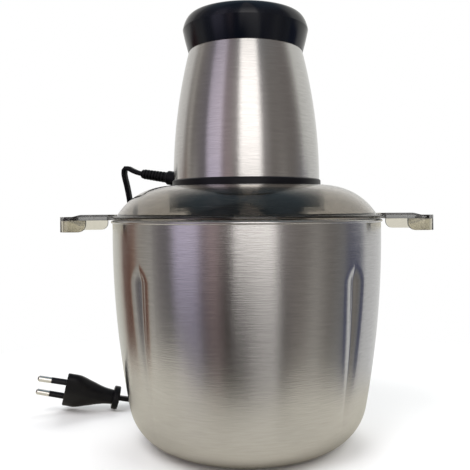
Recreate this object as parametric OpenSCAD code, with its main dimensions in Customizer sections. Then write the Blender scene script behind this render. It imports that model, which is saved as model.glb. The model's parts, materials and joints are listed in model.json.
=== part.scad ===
// Electric food chopper: a steel bowl, a smoky lid with two ears and a motor head on top.
// Millimetres, +Z up. The origin is on the table, on the axis of the bowl.

/* [Bowl] */
// Largest outer radius of the bowl wall
bowl_r = 80.3; // [76:0.1:86]
// Height of the bowl with its rolled rim
bowl_h = 132.6; // [128:0.1:145]
// Thickness of the steel sheet
bowl_sheet = 0.9; // [0.6:0.1:1.4]
// Radius of the arc from the floor up into the wall
bowl_corner_r = 28; // [22:0.5:34]
// Radius of the long arc of the side wall
wall_arc_r = 560; // [500:5:640]
// Height at which the side wall stands upright
wall_upright_z = 125; // [118:0.5:126]
// Radius of the rolled bead of the rim
rim_bead_r = 0.9; // [0.7:0.05:1.2]

/* [Pressed grooves] */
// Number of pressed grooves round the bowl
groove_count = 4; // [2:1:8]
// Angle of the first groove
groove_turn = 45; // [0:1:90]
// Height of the pointed top of a groove
groove_top_z = 114; // [106:0.5:120]
// Height below which a groove has its full depth
groove_full_z = 98; // [88:0.5:102]
// Height of the lower end of a groove's crease
groove_low_z = 23; // [18:0.5:34]
// Depth of the crease at its full height
groove_depth = 3.6; // [2:0.1:5]
// Depth that is left at the lower end of the crease
groove_low_depth = 0.6; // [0.3:0.1:1.5]
// Width of a groove at its full depth
groove_w = 16; // [12:0.5:20]

/* [Bowl pin and blades] */
// Radius of the steel pin on the bowl floor
pin_r = 4; // [3:0.1:5]
// Height of the pin above the table
pin_top_z = 56; // [40:1:70]
// Radius of the welded foot of the pin
pin_foot_r = 10; // [7:0.5:12]
// Radius of the moulded blade spindle
spindle_r = 8; // [7.6:0.1:8.4]
// Wall of the bush between pin and spindle
bush_wall = 1.6; // [1:0.1:2]
// Height of the lower blade's hub
lower_blade_z = 12; // [11:0.5:18]
// Height of the upper blade's hub
upper_blade_z = 45; // [34:0.5:60]
// Thickness of the blade steel
blade_t = 1.8; // [1.2:0.1:2.4]
// Reach of a blade from the axis
blade_reach = 59.8; // [50:0.5:66]
// Width of the ground bevel along a cutting edge
blade_bevel = 3; // [1:0.5:5]
// Radius of a blade's hub
blade_hub_r = 13.5; // [12.5:0.5:16]
// Droop of the lower blade's arms in degrees
lower_droop = 4; // [0:0.5:5]
// Rise of the upper blade's arms in degrees
upper_rise = 7; // [0:0.5:12]
// Height of the clamping nut
nut_h = 6; // [4:0.5:9]

/* [Lid] */
// How far the lid's flange stands out past the bowl wall
flange_lip = 1; // [0.6:0.1:3]
// Width of the flange outside the foot of the dome
flange_step = 3.2; // [2:0.1:5]
// Thickness of the lid's wall and flange
lid_wall = 2; // [1.4:0.1:2.6]
// Height of the lid's top above its flange's underside
lid_rise = 19.8; // [17:0.1:26]
// Gap between the inside of the bowl and the lid's plug skirt
skirt_gap = 1.9; // [1.4:0.1:3]
// Depth of the plug skirt in the bowl
skirt_depth = 6; // [4:0.5:9]
// Depth of the well in the lid that takes the head's foot
well_depth = 12.7; // [11:0.1:14]
// Depth of the inner step of the well
well_step_h = 5.8; // [4:0.1:6.5]
// Bore radius of the collar in the floor of the well
collar_r = 18; // [17:0.1:20]
// Depth of the collar below the floor of the well
collar_h = 6.7; // [5:0.1:7.5]

/* [Ears] */
// Reach of an ear from the axis
ear_reach = 107; // [102:0.5:114]
// Half of an ear's width
ear_half_w = 29.6; // [24:0.2:34]
// Radius of an ear's outer corners
ear_corner_r = 6.5; // [4:0.5:9]
// Height of the ear's skirt below the flange
ear_skirt_h = 6.7; // [4:0.1:8]
// Length of the skirt's side walls, from the outer end inward
ear_skirt_l = 15.9; // [12:0.1:18]
// Length of the stepped-down outer end of the plate
ear_step_l = 10; // [6:0.5:14]
// Height of the raised part of the plate
ear_pad_h = 1.2; // [0.6:0.1:2]

/* [Motor head] */
// Radius of the black foot of the head
ring_r = 45; // [44.6:0.1:46]
// Height of the foot that shows above the lid
ring_h = 3.4; // [3:0.1:5]
// Radius of the foot's lower step
foot_step_r = 35; // [33.5:0.1:37]
// Radius of the steel sleeve at its foot
sleeve_r = 44.2; // [43.6:0.1:44.6]
// Radius of the sleeve's arc in side view
sleeve_arc_r = 317; // [300:1:340]
// Height of the sleeve
sleeve_h = 78.8; // [77:0.1:84]
// Thickness of the sleeve's steel
sleeve_t = 0.8; // [0.5:0.1:1.2]
// Height of the spigot wall inside the sleeve
spigot_h = 8; // [6:0.5:10]
// Wall of the moulded parts of the head
head_wall = 2.2; // [1.6:0.1:2.6]
// Radius of the drive boss that enters the lid
boss_r = 15.4; // [14.6:0.1:15.7]
// Length of the drive boss below the foot
boss_h = 5.5; // [4:0.1:6]

/* [Top cap] */
// Largest radius of the cap
cap_r = 38.1; // [37.4:0.1:40]
// Height from the cap's foot to its widest place
cap_flare_h = 11.9; // [10:0.1:13]
// Height of the whole cap
cap_h = 20.4; // [20.4:0.1:24]
// Radius of the cap's flat top
cap_top_r = 32.7; // [31:0.1:34]
// Radius of the opening for the buttons
button_hole_r = 22; // [20:0.1:22.4]
// Width of the bar between the buttons
button_bar_w = 3; // [2.4:0.1:6]
// Height of the buttons above the cap
button_proud = 1.5; // [0.8:0.1:3]
// Travel of a button
button_travel = 3; // [1.5:0.1:3]

/* [Motor] */
// Radius of the motor shaft
shaft_r = 3; // [2.5:0.1:3.4]
// Radius of the stator stack
stator_r = 29; // [28.4:0.1:29.6]
// Radius of the rotor stack
rotor_r = 15.8; // [14:0.1:16]
// Air gap between rotor and stator
air_gap = 0.6; // [0.4:0.05:1]
// Radius of the fan
fan_r = 21; // [17:0.5:21.4]
// Number of fan blades
fan_blades = 9; // [6:1:12]
// Number of rotor slots and commutator bars
slot_count = 12; // [8:1:16]
// Radius of the commutator
commutator_r = 10; // [9:0.1:11]
// Radius of the circle of the motor screws
motor_screw_circle = 25.7; // [25:0.1:26]
// Distance of the rubber mounts from the axis
mount_circle = 22; // [20:0.5:24]
// Size of the drive hexagon across its flats
hex_flats = 9; // [8:0.1:9.4]
// Height of a switch body
switch_h = 6.9; // [6:0.1:9]

/* [Fits] */
// Clearance between pieces of different bodies
body_gap = 0.3; // [0.2:0.05:0.4]
// Radial clearance of a shaft in its bearing
running_fit = 0.05; // [0.02:0.01:0.1]
// Clearance of a button in its opening
button_gap = 0.4; // [0.3:0.05:0.6]

/* [Cord and plug] */
// Width of the flat twin cord
cord_w = 5; // [4:0.1:6]
// Thickness of the flat twin cord
cord_t = 3.2; // [2.6:0.1:4]
// Radius of the plain tube that stands for the cord
cord_tube_r = 2.1; // [1.6:0.1:2.4]
// Angle round the axis at which the cord leaves the head
exit_turn = 160; // [150:1:170]
// Angle by which the strain relief rises
exit_rise = 9; // [0:1:12]
// Height of the cord's exit above the foot of the ring
exit_lift = 5; // [4.6:0.1:6]
// Length of the strain relief outside the sleeve
relief_l = 28; // [22:1:30]
// Length of the strain relief's collar outside the sleeve
relief_collar_l = 9.5; // [3:0.5:12]
// Radius of the strain relief at its root
relief_root_r = 3.4; // [3:0.05:3.8]
// Radius of the strain relief at its tip
relief_tip_r = 3.1; // [2.8:0.05:3.4]
// Length of the plug body
plug_l = 37; // [35:1:44]
// Width of the plug's front
plug_w = 35.3; // [33:0.1:36]
// Thickness of the plug's front
plug_t = 13.7; // [12:0.1:14]
// Length of a plug pin
pin_l = 19; // [18:0.5:20]
// Radius of a plug pin
plug_pin_r = 2; // [1.8:0.1:2.4]
// Distance between the pins at the plug's face
pin_spacing = 18.6; // [18:0.1:19]

/* [Hidden] */
$fn = 96;

// Bowl: two arcs that meet in a common tangent
wall_cx = bowl_r - wall_arc_r;
corner_cx = wall_cx + sqrt(pow(wall_arc_r - bowl_corner_r, 2) - pow(wall_upright_z - bowl_corner_r, 2));
tangent_a = atan2(bowl_corner_r - wall_upright_z, corner_cx - wall_cx);
bowl_in_r = bowl_r - bowl_sheet;
rim_z = bowl_h - rim_bead_r;
groove_slope = atan2(groove_depth, groove_w / 2);

// Spindle and blades
foot_top_z = bowl_sheet + 2;
spindle_z = foot_top_z + body_gap;
bush_r = pin_r + running_fit + bush_wall;
bush_top_z = pin_top_z + 2;
spindle_flat = spindle_r - 1;
seat_fit = 0.05;

// Lid: its dome is one arc from the rim of the well down to the flange
flange_r = bowl_r + flange_lip;
flange_z = bowl_h + body_gap;
flange_top_z = flange_z + lid_wall;
lid_top_z = flange_z + lid_rise;
skirt_r = bowl_in_r - skirt_gap;
skirt_in_r = skirt_r - lid_wall;
well_r = ring_r + body_gap;
well_out_r = well_r + lid_wall;
well_step_r = foot_step_r + body_gap;
well_step_out_r = well_step_r + lid_wall;
well_z = lid_top_z - well_depth;
well_step_z = well_z - well_step_h;
dome_w = flange_r - flange_step - well_out_r;
dome_h = lid_top_z - flange_top_z;
shoulder_r = (pow(dome_w, 2) + pow(dome_h, 2)) / (2 * dome_h);
shoulder_cz = lid_top_z - shoulder_r;
shoulder_a = asin((flange_top_z - shoulder_cz) / shoulder_r);
inner_a = acos((skirt_in_r - well_out_r) / (shoulder_r - lid_wall));
collar_z = well_step_z - collar_h;
seal_in_r = boss_r + body_gap;
seal_lip_h = 0.95;

// Head levels
ring_z = lid_top_z + body_gap;
ring_top_z = ring_z + ring_h;
foot_z = well_z + body_gap;
step_foot_z = well_step_z + body_gap;
floor_t = 2.4;
ledge_z = foot_z + floor_t;
floor_z = step_foot_z + floor_t;
boss_z = step_foot_z - boss_h;
sleeve_top_z = ring_top_z + sleeve_h;
sleeve_in_r = sleeve_r - sleeve_t;
spigot_r = sleeve_in_r - 0.3;
spigot_in_r = spigot_r - head_wall;
cap_foot_r = sleeve_r_at(sleeve_top_z);
cap_z = sleeve_top_z;
cap_wide_z = cap_z + cap_flare_h;
cap_top_z = cap_z + cap_h;
cap_skin_z = cap_top_z - head_wall;
cap_spigot_r = cap_foot_r - sleeve_t - 0.3;

// Switches stand on a carrier below the buttons
carrier_t = 2;
button_flange_t = 1.8;
button_low_z = cap_skin_z - body_gap - button_flange_t;
carrier_top_z = button_low_z - button_travel - body_gap - switch_h;
carrier_z = carrier_top_z - carrier_t;
carrier_r = cap_spigot_r - head_wall - 0.8;
carrier_screw_circle = carrier_r - 2.6;
switch_x = 12;
switch_y = -8;
spring_y = 8;
diode_y = 18;

// Motor: its brackets stand off the foot and the carrier, and the stack fills the height between
mount_h = 2;
bracket_t = 3.5;
lower_plate_z = floor_z + 19.4;
fan_z = lower_plate_z + bracket_t + 2.5;
stator_z = lower_plate_z + bracket_t + 16;
upper_boss_top_z = carrier_z - 0.6;
upper_plate_z = upper_boss_top_z - 8.3;
commutator_h = 11;
commutator_z = upper_plate_z - 1 - commutator_h;
brush_z = commutator_z + commutator_h / 2;
stator_top_z = commutator_z - 6;
stator_h = stator_top_z - stator_z;
bearing_h = 5;
shaft_top_z = upper_boss_top_z - 0.5;
lower_boss_z = lower_plate_z - 7.5;
bearing_r = 8;
brush_tip_r = commutator_r + running_fit;
brush_l = 8;
brush_w = 5;
brush_h = 4;
holder_wall = 0.8;
holder_end = commutator_r + 13.6;
coil_in_r = rotor_r + air_gap + 3.2;
yoke_in_r = coil_in_r + 3.2;
winding_h = 3.2;
post_r = 3;

// Drive
spindle_top_z = boss_z - 1.5;
hex_r = hex_flats / (2 * cos(30));
socket_r = (hex_flats + 2 * body_gap) / (2 * cos(30));
socket_depth = 13;
dog_z = spindle_top_z - socket_depth + 1.5;
dog_h = 11.5;

// Cord: its route in round numbers, from the strain relief to the coil and from the coil to the plug
exit_point = [sleeve_r * cos(exit_turn), sleeve_r * sin(exit_turn), ring_z + exit_lift];
exit_dir = [cos(exit_rise) * cos(exit_turn), cos(exit_rise) * sin(exit_turn), sin(exit_rise)];
relief_tip = exit_point + relief_l * exit_dir;
relief_collar_r = 4.5;
relief_flange_r = 6.3;
relief_flange_at = -6.8;
relief_flange_t = 1.6;
clamp_at = foot_step_r - head_wall + 0.6;
clamp_foot_l = 6.6;
clamp_foot_t = 1.6;
clamp_screw_at = 4.2;
drop_route = [
    [-70.6, 25.7, 163], [-74, 26.7, 163.9], [-77, 27.4, 165.1], [-78.9, 27.9, 165.2], [-80, 28.4, 164],
    [-80.2, 28.9, 162.2], [-79.8, 29.7, 159.6], [-78.9, 31, 155], [-77.8, 33.6, 146.5], [-77.6, 37, 138.5],
    [-78, 41.5, 128], [-78.8, 48.5, 110], [-79.3, 55, 90], [-79.2, 60, 70], [-78.4, 65, 50],
    [-77, 70, 32], [-74, 75, 18], [-69, 80.5, 8.6], [-61.5, 87, 3.4], [-52, 93.6, 2.4],
    [-41, 100, 2.4], [-30.5, 107, 2.4], [-23.4, 115, 2.4], [-21.4, 119, 2.4]
];
tail_route = [
    [0, 91.8, 5.4], [-10, 90.8, 4.4], [-21, 88, 3], [-32, 83, 2.4], [-42, 76, 2.4], [-50, 68.4, 2.4],
    [-58, 62.8, 2.6], [-66.5, 59.2, 3.6], [-74.6, 57.1, 5.2], [-82.3, 55.6, 6.6]
];
coil_at = [10, 122];
coil_mean_r = 27.5;
coil_z = 0.8;
tie_t = 0.7;
tie_slack = 0.25;
plug_rear = [-90, 54, 8.2];
plug_turn = 192;
plug_rise = 13;
plug_roll = 44.5;

// Outer radius of the sleeve at a height
function sleeve_r_at(z) = sleeve_r - sleeve_arc_r + sqrt(pow(sleeve_arc_r, 2) - pow(z - ring_top_z, 2));

// Points of an arc, from step s of n
function arc(c, r, a0, a1, n, s = 0) =
    [for (i = [s:n]) let (a = a0 + (a1 - a0) * i / n) [c[0] + r * cos(a), c[1] + r * sin(a)]];

function unit(v) = v / norm(v);

// Direction of a route at one of its points
function heading(route, i) = unit(route[min(i + 1, len(route) - 1)] - route[max(i - 1, 0)]);

// A round tube swept along a route
module tube(route, r, sides) {
    side_ref = [0.31, 0.95, 0.05];
    rings = [for (i = [0:len(route) - 1])
        let (t = heading(route, i), u = unit(cross(side_ref, t)), v = cross(t, u))
        for (k = [0:sides - 1]) let (a = 360 * k / sides) route[i] + r * (cos(a) * u + sin(a) * v)];
    last = (len(route) - 1) * sides;
    walls = [for (i = [0:len(route) - 2]) for (k = [0:sides - 1])
        let (a = i * sides + k, b = i * sides + (k + 1) % sides) [a, a + sides, b + sides, b]];
    ends = [[for (k = [0:sides - 1]) k], [for (k = [sides - 1:-1:0]) last + k]];
    polyhedron(points = rings, faces = concat(walls, ends), convexity = 10);
}

// A compression spring standing on z = 0
module spring(coil_r, wire_r, h, turns) {
    steps = turns * 12;
    route = [for (i = [0:steps]) let (a = 360 * i / 12)
        [coil_r * cos(a), coil_r * sin(a), wire_r + (h - 2 * wire_r) * i / steps]];
    sides = 6;
    rings = [for (i = [0:steps]) let (a = 360 * i / 12)
        for (k = [0:sides - 1]) let (b = 60 * k)
        route[i] + wire_r * [cos(b) * cos(a), cos(b) * sin(a), sin(b)]];
    last = steps * sides;
    walls = [for (i = [0:steps - 1]) for (k = [0:sides - 1])
        let (a = i * sides + k, b = i * sides + (k + 1) % sides) [a, a + sides, b + sides, b]];
    ends = [[for (k = [0:sides - 1]) k], [for (k = [sides - 1:-1:0]) last + k]];
    polyhedron(points = rings, faces = concat(walls, ends), convexity = 10);
}

// A washer or bush standing on z
module ring(r_out, r_in, z, h) {
    translate([0, 0, z]) difference() {
        cylinder(h = h, r = r_out);
        translate([0, 0, -1]) cylinder(h = h + 2, r = r_in);
    }
}

// A pan head screw with its shank pointing up
module screw(shank_r, head_r, head_h, l) {
    difference() {
        cylinder(h = head_h, r = head_r, $fn = 32);
        translate([-head_r, -0.4, -1]) cube([2 * head_r, 0.8, 1.6]);
        translate([-0.4, -head_r, -1]) cube([0.8, 2 * head_r, 1.6]);
    }
    translate([0, 0, head_h]) cylinder(h = l, r = shank_r, $fn = 32);
}

// Copies on a circle
module around(count, first, r) {
    for (i = [0:count - 1]) rotate([0, 0, first + 360 * i / count]) translate([r, 0, 0]) children();
}

// The bowl as a full form, offset inward by the sheet, up to a height
module bowl_form(inset, top) {
    rotate_extrude() polygon(concat(
        [[0, inset]],
        arc([corner_cx, bowl_corner_r], bowl_corner_r - inset, -90, tangent_a, 10),
        arc([wall_cx, wall_upright_z], wall_arc_r - inset, tangent_a, 0, 14, 1),
        [[bowl_r - inset, top], [0, top]]
    ));
}

// Outer radius of the wall at a height on its long arc
function wall_r_at(z) = wall_cx + sqrt(pow(wall_arc_r, 2) - pow(z - wall_upright_z, 2));

// One straight stretch of a groove, from one crease point up to the next
module groove_wedge(p, q) {
    tilt = atan2(q[0] - p[0], q[1] - p[1]);
    reach = 12;
    translate([p[0], 0, p[1]]) rotate([0, tilt, 0]) linear_extrude(norm(q - p))
        polygon([[0, 0], [reach, -reach / tan(groove_slope)], [reach, reach / tan(groove_slope)]]);
}

// The pressed grooves, moved inward by the sheet for the inside of the bowl
module grooves(inset) {
    shift = inset / cos(groove_slope);
    low = [wall_r_at(groove_low_z) - groove_low_depth - shift, groove_low_z];
    full = [wall_r_at(groove_full_z) - groove_depth - shift, groove_full_z];
    top = [wall_r_at(groove_top_z) - shift, groove_top_z];
    for (i = [0:groove_count - 1]) rotate([0, 0, groove_turn + 360 * i / groove_count]) {
        groove_wedge(low + (low - full) * 0.2, full);
        groove_wedge(full, top + (top - full) * 0.2);
    }
}

module bowl() {
    color("silver") difference() {
        union() {
            difference() {
                bowl_form(0, rim_z);
                grooves(0);
            }
            rotate_extrude() translate([bowl_r, rim_z]) circle(r = rim_bead_r, $fn = 24);
        }
        difference() {
            bowl_form(bowl_sheet, bowl_h + 1);
            grooves(bowl_sheet);
        }
    }
}

module bowl_pin() {
    color("gainsboro") {
        translate([0, 0, bowl_sheet]) cylinder(h = foot_top_z - bowl_sheet, r = pin_foot_r);
        translate([0, 0, foot_top_z]) cylinder(h = pin_top_z - foot_top_z - 1, r = pin_r);
        translate([0, 0, pin_top_z - 1]) cylinder(h = 1, r1 = pin_r, r2 = pin_r - 1);
    }
}

// Section of the lid's shell, with its flange, plug skirt, stepped well and collar
module lid_section() {
    polygon(concat(
        [[well_r, lid_top_z]],
        arc([well_out_r, shoulder_cz], shoulder_r, 90, shoulder_a, 16),
        [
            [flange_r - 0.6, flange_top_z], [flange_r, flange_top_z - 0.6], [flange_r, flange_z],
            [skirt_r, flange_z], [skirt_r, flange_z - skirt_depth], [skirt_in_r, flange_z - skirt_depth]
        ],
        arc([well_out_r, shoulder_cz], shoulder_r - lid_wall, inner_a, 90, 14),
        [
            [well_out_r, well_z - lid_wall], [well_step_out_r, well_z - lid_wall],
            [well_step_out_r, well_step_z - lid_wall], [collar_r + lid_wall, well_step_z - lid_wall],
            [collar_r + lid_wall, collar_z], [collar_r, collar_z], [collar_r, well_step_z],
            [well_step_r, well_step_z], [well_step_r, well_z], [well_r, well_z]
        ]
    ));
}

// Outline of an ear in plan, inset from its edge
module ear_outline(inset) {
    x0 = skirt_r;
    x1 = ear_reach - inset;
    y1 = ear_half_w - inset;
    r = ear_corner_r - inset;
    translate([x0, -y1]) square([x1 - x0 - r, 2 * y1]);
    translate([x0, r - y1]) square([x1 - x0, 2 * (y1 - r)]);
    for (s = [-1, 1]) translate([x1 - r, s * (y1 - r)]) circle(r = r, $fn = 48);
}

module ear() {
    skirt_x = ear_reach - ear_skirt_l;
    skirt_z = flange_z - ear_skirt_h;
    round_r = 4.5;
    step_x = ear_reach - ear_step_l;
    difference() {
        union() {
            translate([0, 0, flange_z]) linear_extrude(lid_wall) ear_outline(0);
            translate([0, 0, flange_top_z]) linear_extrude(ear_pad_h) intersection() {
                ear_outline(1.2);
                translate([0, -ear_half_w]) square([step_x, 2 * ear_half_w]);
            }
            translate([0, 0, skirt_z]) linear_extrude(ear_skirt_h) difference() {
                ear_outline(0);
                ear_outline(lid_wall);
                translate([0, -ear_half_w]) square([skirt_x, 2 * ear_half_w]);
            }
        }
        translate([0, 0, flange_z - 1]) cylinder(h = lid_rise, r = skirt_r);
        translate([skirt_x, 0, skirt_z]) rotate([90, 0, 0]) difference() {
            translate([-1, -1, -ear_half_w - 1]) cube([round_r + 1, round_r + 1, 2 * ear_half_w + 2]);
            translate([round_r, round_r, -ear_half_w - 2])
                cylinder(h = 2 * ear_half_w + 4, r = round_r, $fn = 32);
        }
    }
}

module lid() {
    color([0.45, 0.42, 0.38, 0.6]) {
        rotate_extrude() lid_section();
        ear();
        mirror([1, 0, 0]) ear();
    }
}

module lid_gasket() {
    color("white") ring(bowl_in_r - body_gap, skirt_r + seat_fit, flange_z - 3.4, 3.4);
}

module collar_seal() {
    color("white") {
        ring(collar_r - seat_fit, seal_in_r, collar_z - seat_fit, collar_h - 0.3);
        ring(collar_r + lid_wall, seal_in_r, collar_z - seat_fit - seal_lip_h, seal_lip_h);
    }
}

module blade_spindle() {
    color("whitesmoke") difference() {
        union() {
            translate([0, 0, spindle_z]) cylinder(h = lower_blade_z - spindle_z, r = blade_hub_r - 1.5);
            translate([0, 0, lower_blade_z]) intersection() {
                cylinder(h = upper_blade_z + nut_h + blade_t - lower_blade_z, r = spindle_r);
                translate([-spindle_flat, -spindle_r, -1]) cube([2 * spindle_flat, 2 * spindle_r, 99]);
            }
            translate([0, 0, upper_blade_z + nut_h + blade_t])
                cylinder(h = spindle_top_z - 1 - upper_blade_z - nut_h - blade_t, r = spindle_r);
            translate([0, 0, spindle_top_z - 1]) cylinder(h = 1, r1 = spindle_r, r2 = spindle_r - 1);
        }
        translate([0, 0, spindle_z - 1]) cylinder(h = bush_top_z - spindle_z + 1, r = bush_r + seat_fit);
        translate([0, 0, spindle_top_z - socket_depth]) cylinder(h = socket_depth + 1, r = socket_r, $fn = 6);
    }
}

module spindle_bush() {
    color("peru") {
        ring(bush_r, pin_r + running_fit, spindle_z, pin_top_z - spindle_z + 0.5);
    }
}

// One sickle arm along +X: a ground convex edge in front, a hollow back behind
module blade_arm(reach) {
    tip = [reach * cos(17.5), -reach * sin(17.5)];
    front = [0, blade_hub_r - 0.5];
    back = [0, -blade_hub_r + 0.5];
    front_mid = (front + tip) / 2;
    back_mid = (back + tip) / 2;
    front_n = unit([front[1] - tip[1], tip[0] - front[0]]);
    back_n = unit([back[1] - tip[1], tip[0] - back[0]]);
    front_c = front_mid - 0.5 * reach * front_n;
    back_c = back_mid - 0.75 * reach * back_n;
    front_r = norm(tip - front_c);
    back_r = norm(tip - back_c);
    difference() {
        translate(front_c) cylinder(h = blade_t, r1 = front_r, r2 = front_r - blade_bevel);
        translate([back_c[0], back_c[1], -1]) cylinder(h = blade_t + 2, r = back_r);
        translate([-2 * reach, -2 * reach, -1]) cube([2 * reach, 4 * reach, blade_t + 2]);
        translate([0, 0, -1]) cylinder(h = blade_t + 2, r = blade_hub_r - 1);
    }
}

// A hub with two arms whose tips rise by an angle; the arms turn round the hub's bore
module blade(rise, turn) {
    difference() {
        union() {
            cylinder(h = blade_t, r = blade_hub_r);
            for (a = [0, 180]) rotate([0, 0, a + turn])
                translate([blade_hub_r - 1, 0, 0]) rotate([0, -rise, 0]) translate([1 - blade_hub_r, 0, 0])
                blade_arm(blade_reach);
        }
        translate([0, 0, -1]) intersection() {
            cylinder(h = blade_t + 2, r = spindle_r + seat_fit);
            translate([-spindle_flat - seat_fit, -spindle_r - 1, 0])
                cube([2 * (spindle_flat + seat_fit), 2 * spindle_r + 2, blade_t + 2]);
        }
    }
}

module lower_blade() {
    color("lightsteelblue") translate([0, 0, lower_blade_z]) blade(-lower_droop, 0);
}

module blade_spacer() {
    color("whitesmoke") ring(spindle_r + 2.4, spindle_r + seat_fit, lower_blade_z + blade_t,
        upper_blade_z - lower_blade_z - blade_t);
}

module upper_blade() {
    color("lightsteelblue") translate([0, 0, upper_blade_z]) blade(upper_rise, 90);
}

module blade_nut() {
    grip_count = 12;
    nut_r = spindle_r + 4;
    color("whitesmoke") difference() {
        ring(nut_r, spindle_r + seat_fit, upper_blade_z + blade_t, nut_h);
        around(grip_count, 0, nut_r + 0.6) translate([0, 0, upper_blade_z + blade_t - 1])
            cylinder(h = nut_h + 2, r = 1.2, $fn = 16);
    }
}

// Places a child at the cord's exit with +Z along the strain relief
module at_exit() {
    translate(exit_point) rotate([0, 90 - exit_rise, exit_turn]) children();
}

module exit_hole() {
    at_exit() translate([0, 0, -9]) cylinder(h = 18, r = relief_collar_r + seat_fit, $fn = 48);
}

module head_base() {
    color("#1b1c20") difference() {
        union() {
            translate([0, 0, foot_z]) cylinder(h = ring_top_z - 0.6 - foot_z, r = ring_r);
            translate([0, 0, ring_top_z - 0.6]) cylinder(h = 0.6, r1 = ring_r, r2 = ring_r - 0.6);
            translate([0, 0, ring_top_z]) cylinder(h = spigot_h, r = spigot_r);
            translate([0, 0, step_foot_z]) cylinder(h = foot_z - step_foot_z, r = foot_step_r);
            translate([0, 0, boss_z]) cylinder(h = boss_h, r = boss_r);
        }
        translate([0, 0, ledge_z]) cylinder(h = ring_top_z + spigot_h + 1 - ledge_z, r = spigot_in_r);
        translate([0, 0, floor_z]) cylinder(h = ledge_z + 1 - floor_z, r = foot_step_r - head_wall);
        translate([0, 0, boss_z - 1]) cylinder(h = boss_h + floor_t + 2, r = bearing_r + 2 + seat_fit);
        around(4, 0, mount_circle) translate([0, 0, step_foot_z - 1]) {
            cylinder(h = floor_t + 2, r = 1.7, $fn = 32);
            cylinder(h = 2.2, r = 3.4, $fn = 32);
        }
        exit_hole();
    }
}

module shaft_seal() {
    color("#3a2a22") difference() {
        union() {
            ring(bearing_r + 2, shaft_r + running_fit, boss_z, floor_z - boss_z);
            ring(bearing_r + 4, shaft_r + running_fit, floor_z, 1);
        }
        ring(bearing_r, shaft_r + 2.5, boss_z - 1, 4);
    }
}

module sleeve() {
    top_a = asin(sleeve_h / sleeve_arc_r);
    c = [sleeve_r - sleeve_arc_r, ring_top_z];
    color("lightgray") difference() {
        rotate_extrude() polygon(concat(
            arc(c, sleeve_arc_r, 0, top_a, 16),
            [[cap_foot_r - sleeve_t, sleeve_top_z]],
            arc(c, sleeve_arc_r - sleeve_t, asin(sleeve_h / (sleeve_arc_r - sleeve_t)), 0, 16, 1)
        ));
        exit_hole();
    }
}

// Side of the cap: a flare from the sleeve up, then a rounded shoulder
function cap_side(inset) = concat(
    [[cap_foot_r - inset, cap_z]],
    [for (i = [1:5]) let (k = i / 5)
        [cap_foot_r - inset + (cap_r - cap_foot_r) * (1.35 * k - 0.35 * k * k), cap_z + cap_flare_h * k]],
    [for (i = [1:10]) let (a = 90 * i / 10, w = cap_r - cap_top_r, h = cap_h - cap_flare_h - inset)
        [cap_top_r - inset + w * cos(a), cap_wide_z + h * sin(a)]]
);

module top_cap() {
    boss_bore_r = 1.15;
    color("#15161a") difference() {
        union() {
            difference() {
                rotate_extrude() polygon(concat([[0, cap_z]], cap_side(0), [[0, cap_top_z]]));
                rotate_extrude() polygon(concat([[0, cap_z - 1], [cap_foot_r - head_wall - 0.9, cap_z - 1]],
                    cap_side(head_wall + 0.9), [[0, cap_skin_z - 0.9]]));
                translate([0, 0, cap_skin_z - 3]) cylinder(h = 3, r = cap_top_r - 4);
            }
            ring(cap_spigot_r, cap_spigot_r - head_wall, cap_z - 7, 7);
            around(3, 90, carrier_screw_circle) translate([0, 0, carrier_top_z])
                cylinder(h = cap_skin_z - carrier_top_z + 0.5, r = 3, $fn = 32);
        }
        translate([0, 0, cap_skin_z - 1]) difference() {
            cylinder(h = head_wall + 2, r = button_hole_r);
            translate([-button_bar_w / 2, -cap_r, 0]) cube([button_bar_w, 2 * cap_r, head_wall + 2]);
        }
        around(3, 90, carrier_screw_circle) translate([0, 0, carrier_top_z - 1])
            cylinder(h = 8, r = boss_bore_r, $fn = 24);
    }
}

// Half-moon push button on the side s of the bar
module push_button(s) {
    r = button_hole_r - button_gap;
    x0 = button_bar_w / 2 + button_gap;
    top = cap_top_z + button_proud;
    mirror([s > 0 ? 0 : 1, 0, 0]) {
        intersection() {
            union() {
                translate([0, 0, button_low_z]) cylinder(h = top - 0.8 - button_low_z, r = r);
                translate([0, 0, top - 0.8]) cylinder(h = 0.8, r1 = r, r2 = r - 0.8);
            }
            translate([x0, -r, button_low_z]) cube([r, 2 * r, top - button_low_z]);
        }
        intersection() {
            translate([0, 0, button_low_z]) cylinder(h = button_flange_t, r = r + 1.4);
            translate([x0 - 1, -2 * r, button_low_z]) cube([2 * r, 4 * r, button_flange_t]);
        }
        translate([switch_x, switch_y, carrier_top_z + switch_h - 0.8])
            cylinder(h = button_low_z - carrier_top_z - switch_h + 0.8, r = 1.3, $fn = 32);
    }
}

module button_low() {
    color("#2a2b30") push_button(-1);
}

module button_high() {
    color("#2a2b30") push_button(1);
}

module button_spring_low() {
    color("silver") translate([-switch_x, spring_y, carrier_top_z])
        spring(3.2, 0.4, button_low_z - body_gap - carrier_top_z, 5);
}

module button_spring_high() {
    color("silver") translate([switch_x, spring_y, carrier_top_z])
        spring(3.2, 0.4, button_low_z - body_gap - carrier_top_z, 5);
}

module switch_bodies() {
    color("darkslategray") for (s = [-1, 1]) translate([s * switch_x, switch_y, carrier_top_z])
        difference() {
            translate([-2.9, -6.4, 0]) cube([5.8, 12.8, switch_h]);
            translate([0, 0, switch_h - 4.4]) cylinder(h = 5, r = 1.7, $fn = 32);
        }
}

module switch_carrier() {
    color("dimgray") {
        difference() {
            translate([0, 0, carrier_z]) cylinder(h = carrier_t, r = carrier_r);
            around(3, 90, carrier_screw_circle) translate([0, 0, carrier_z - 1])
                cylinder(h = carrier_t + 2, r = 1.3, $fn = 24);
            around(6, 30, 16) translate([0, 0, carrier_z - 1]) cylinder(h = carrier_t + 2, r = 2, $fn = 24);
        }
        for (s = [-1, 1]) translate([s * switch_x, spring_y, carrier_top_z]) cylinder(h = 4, r = 2, $fn = 32);
    }
}

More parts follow.
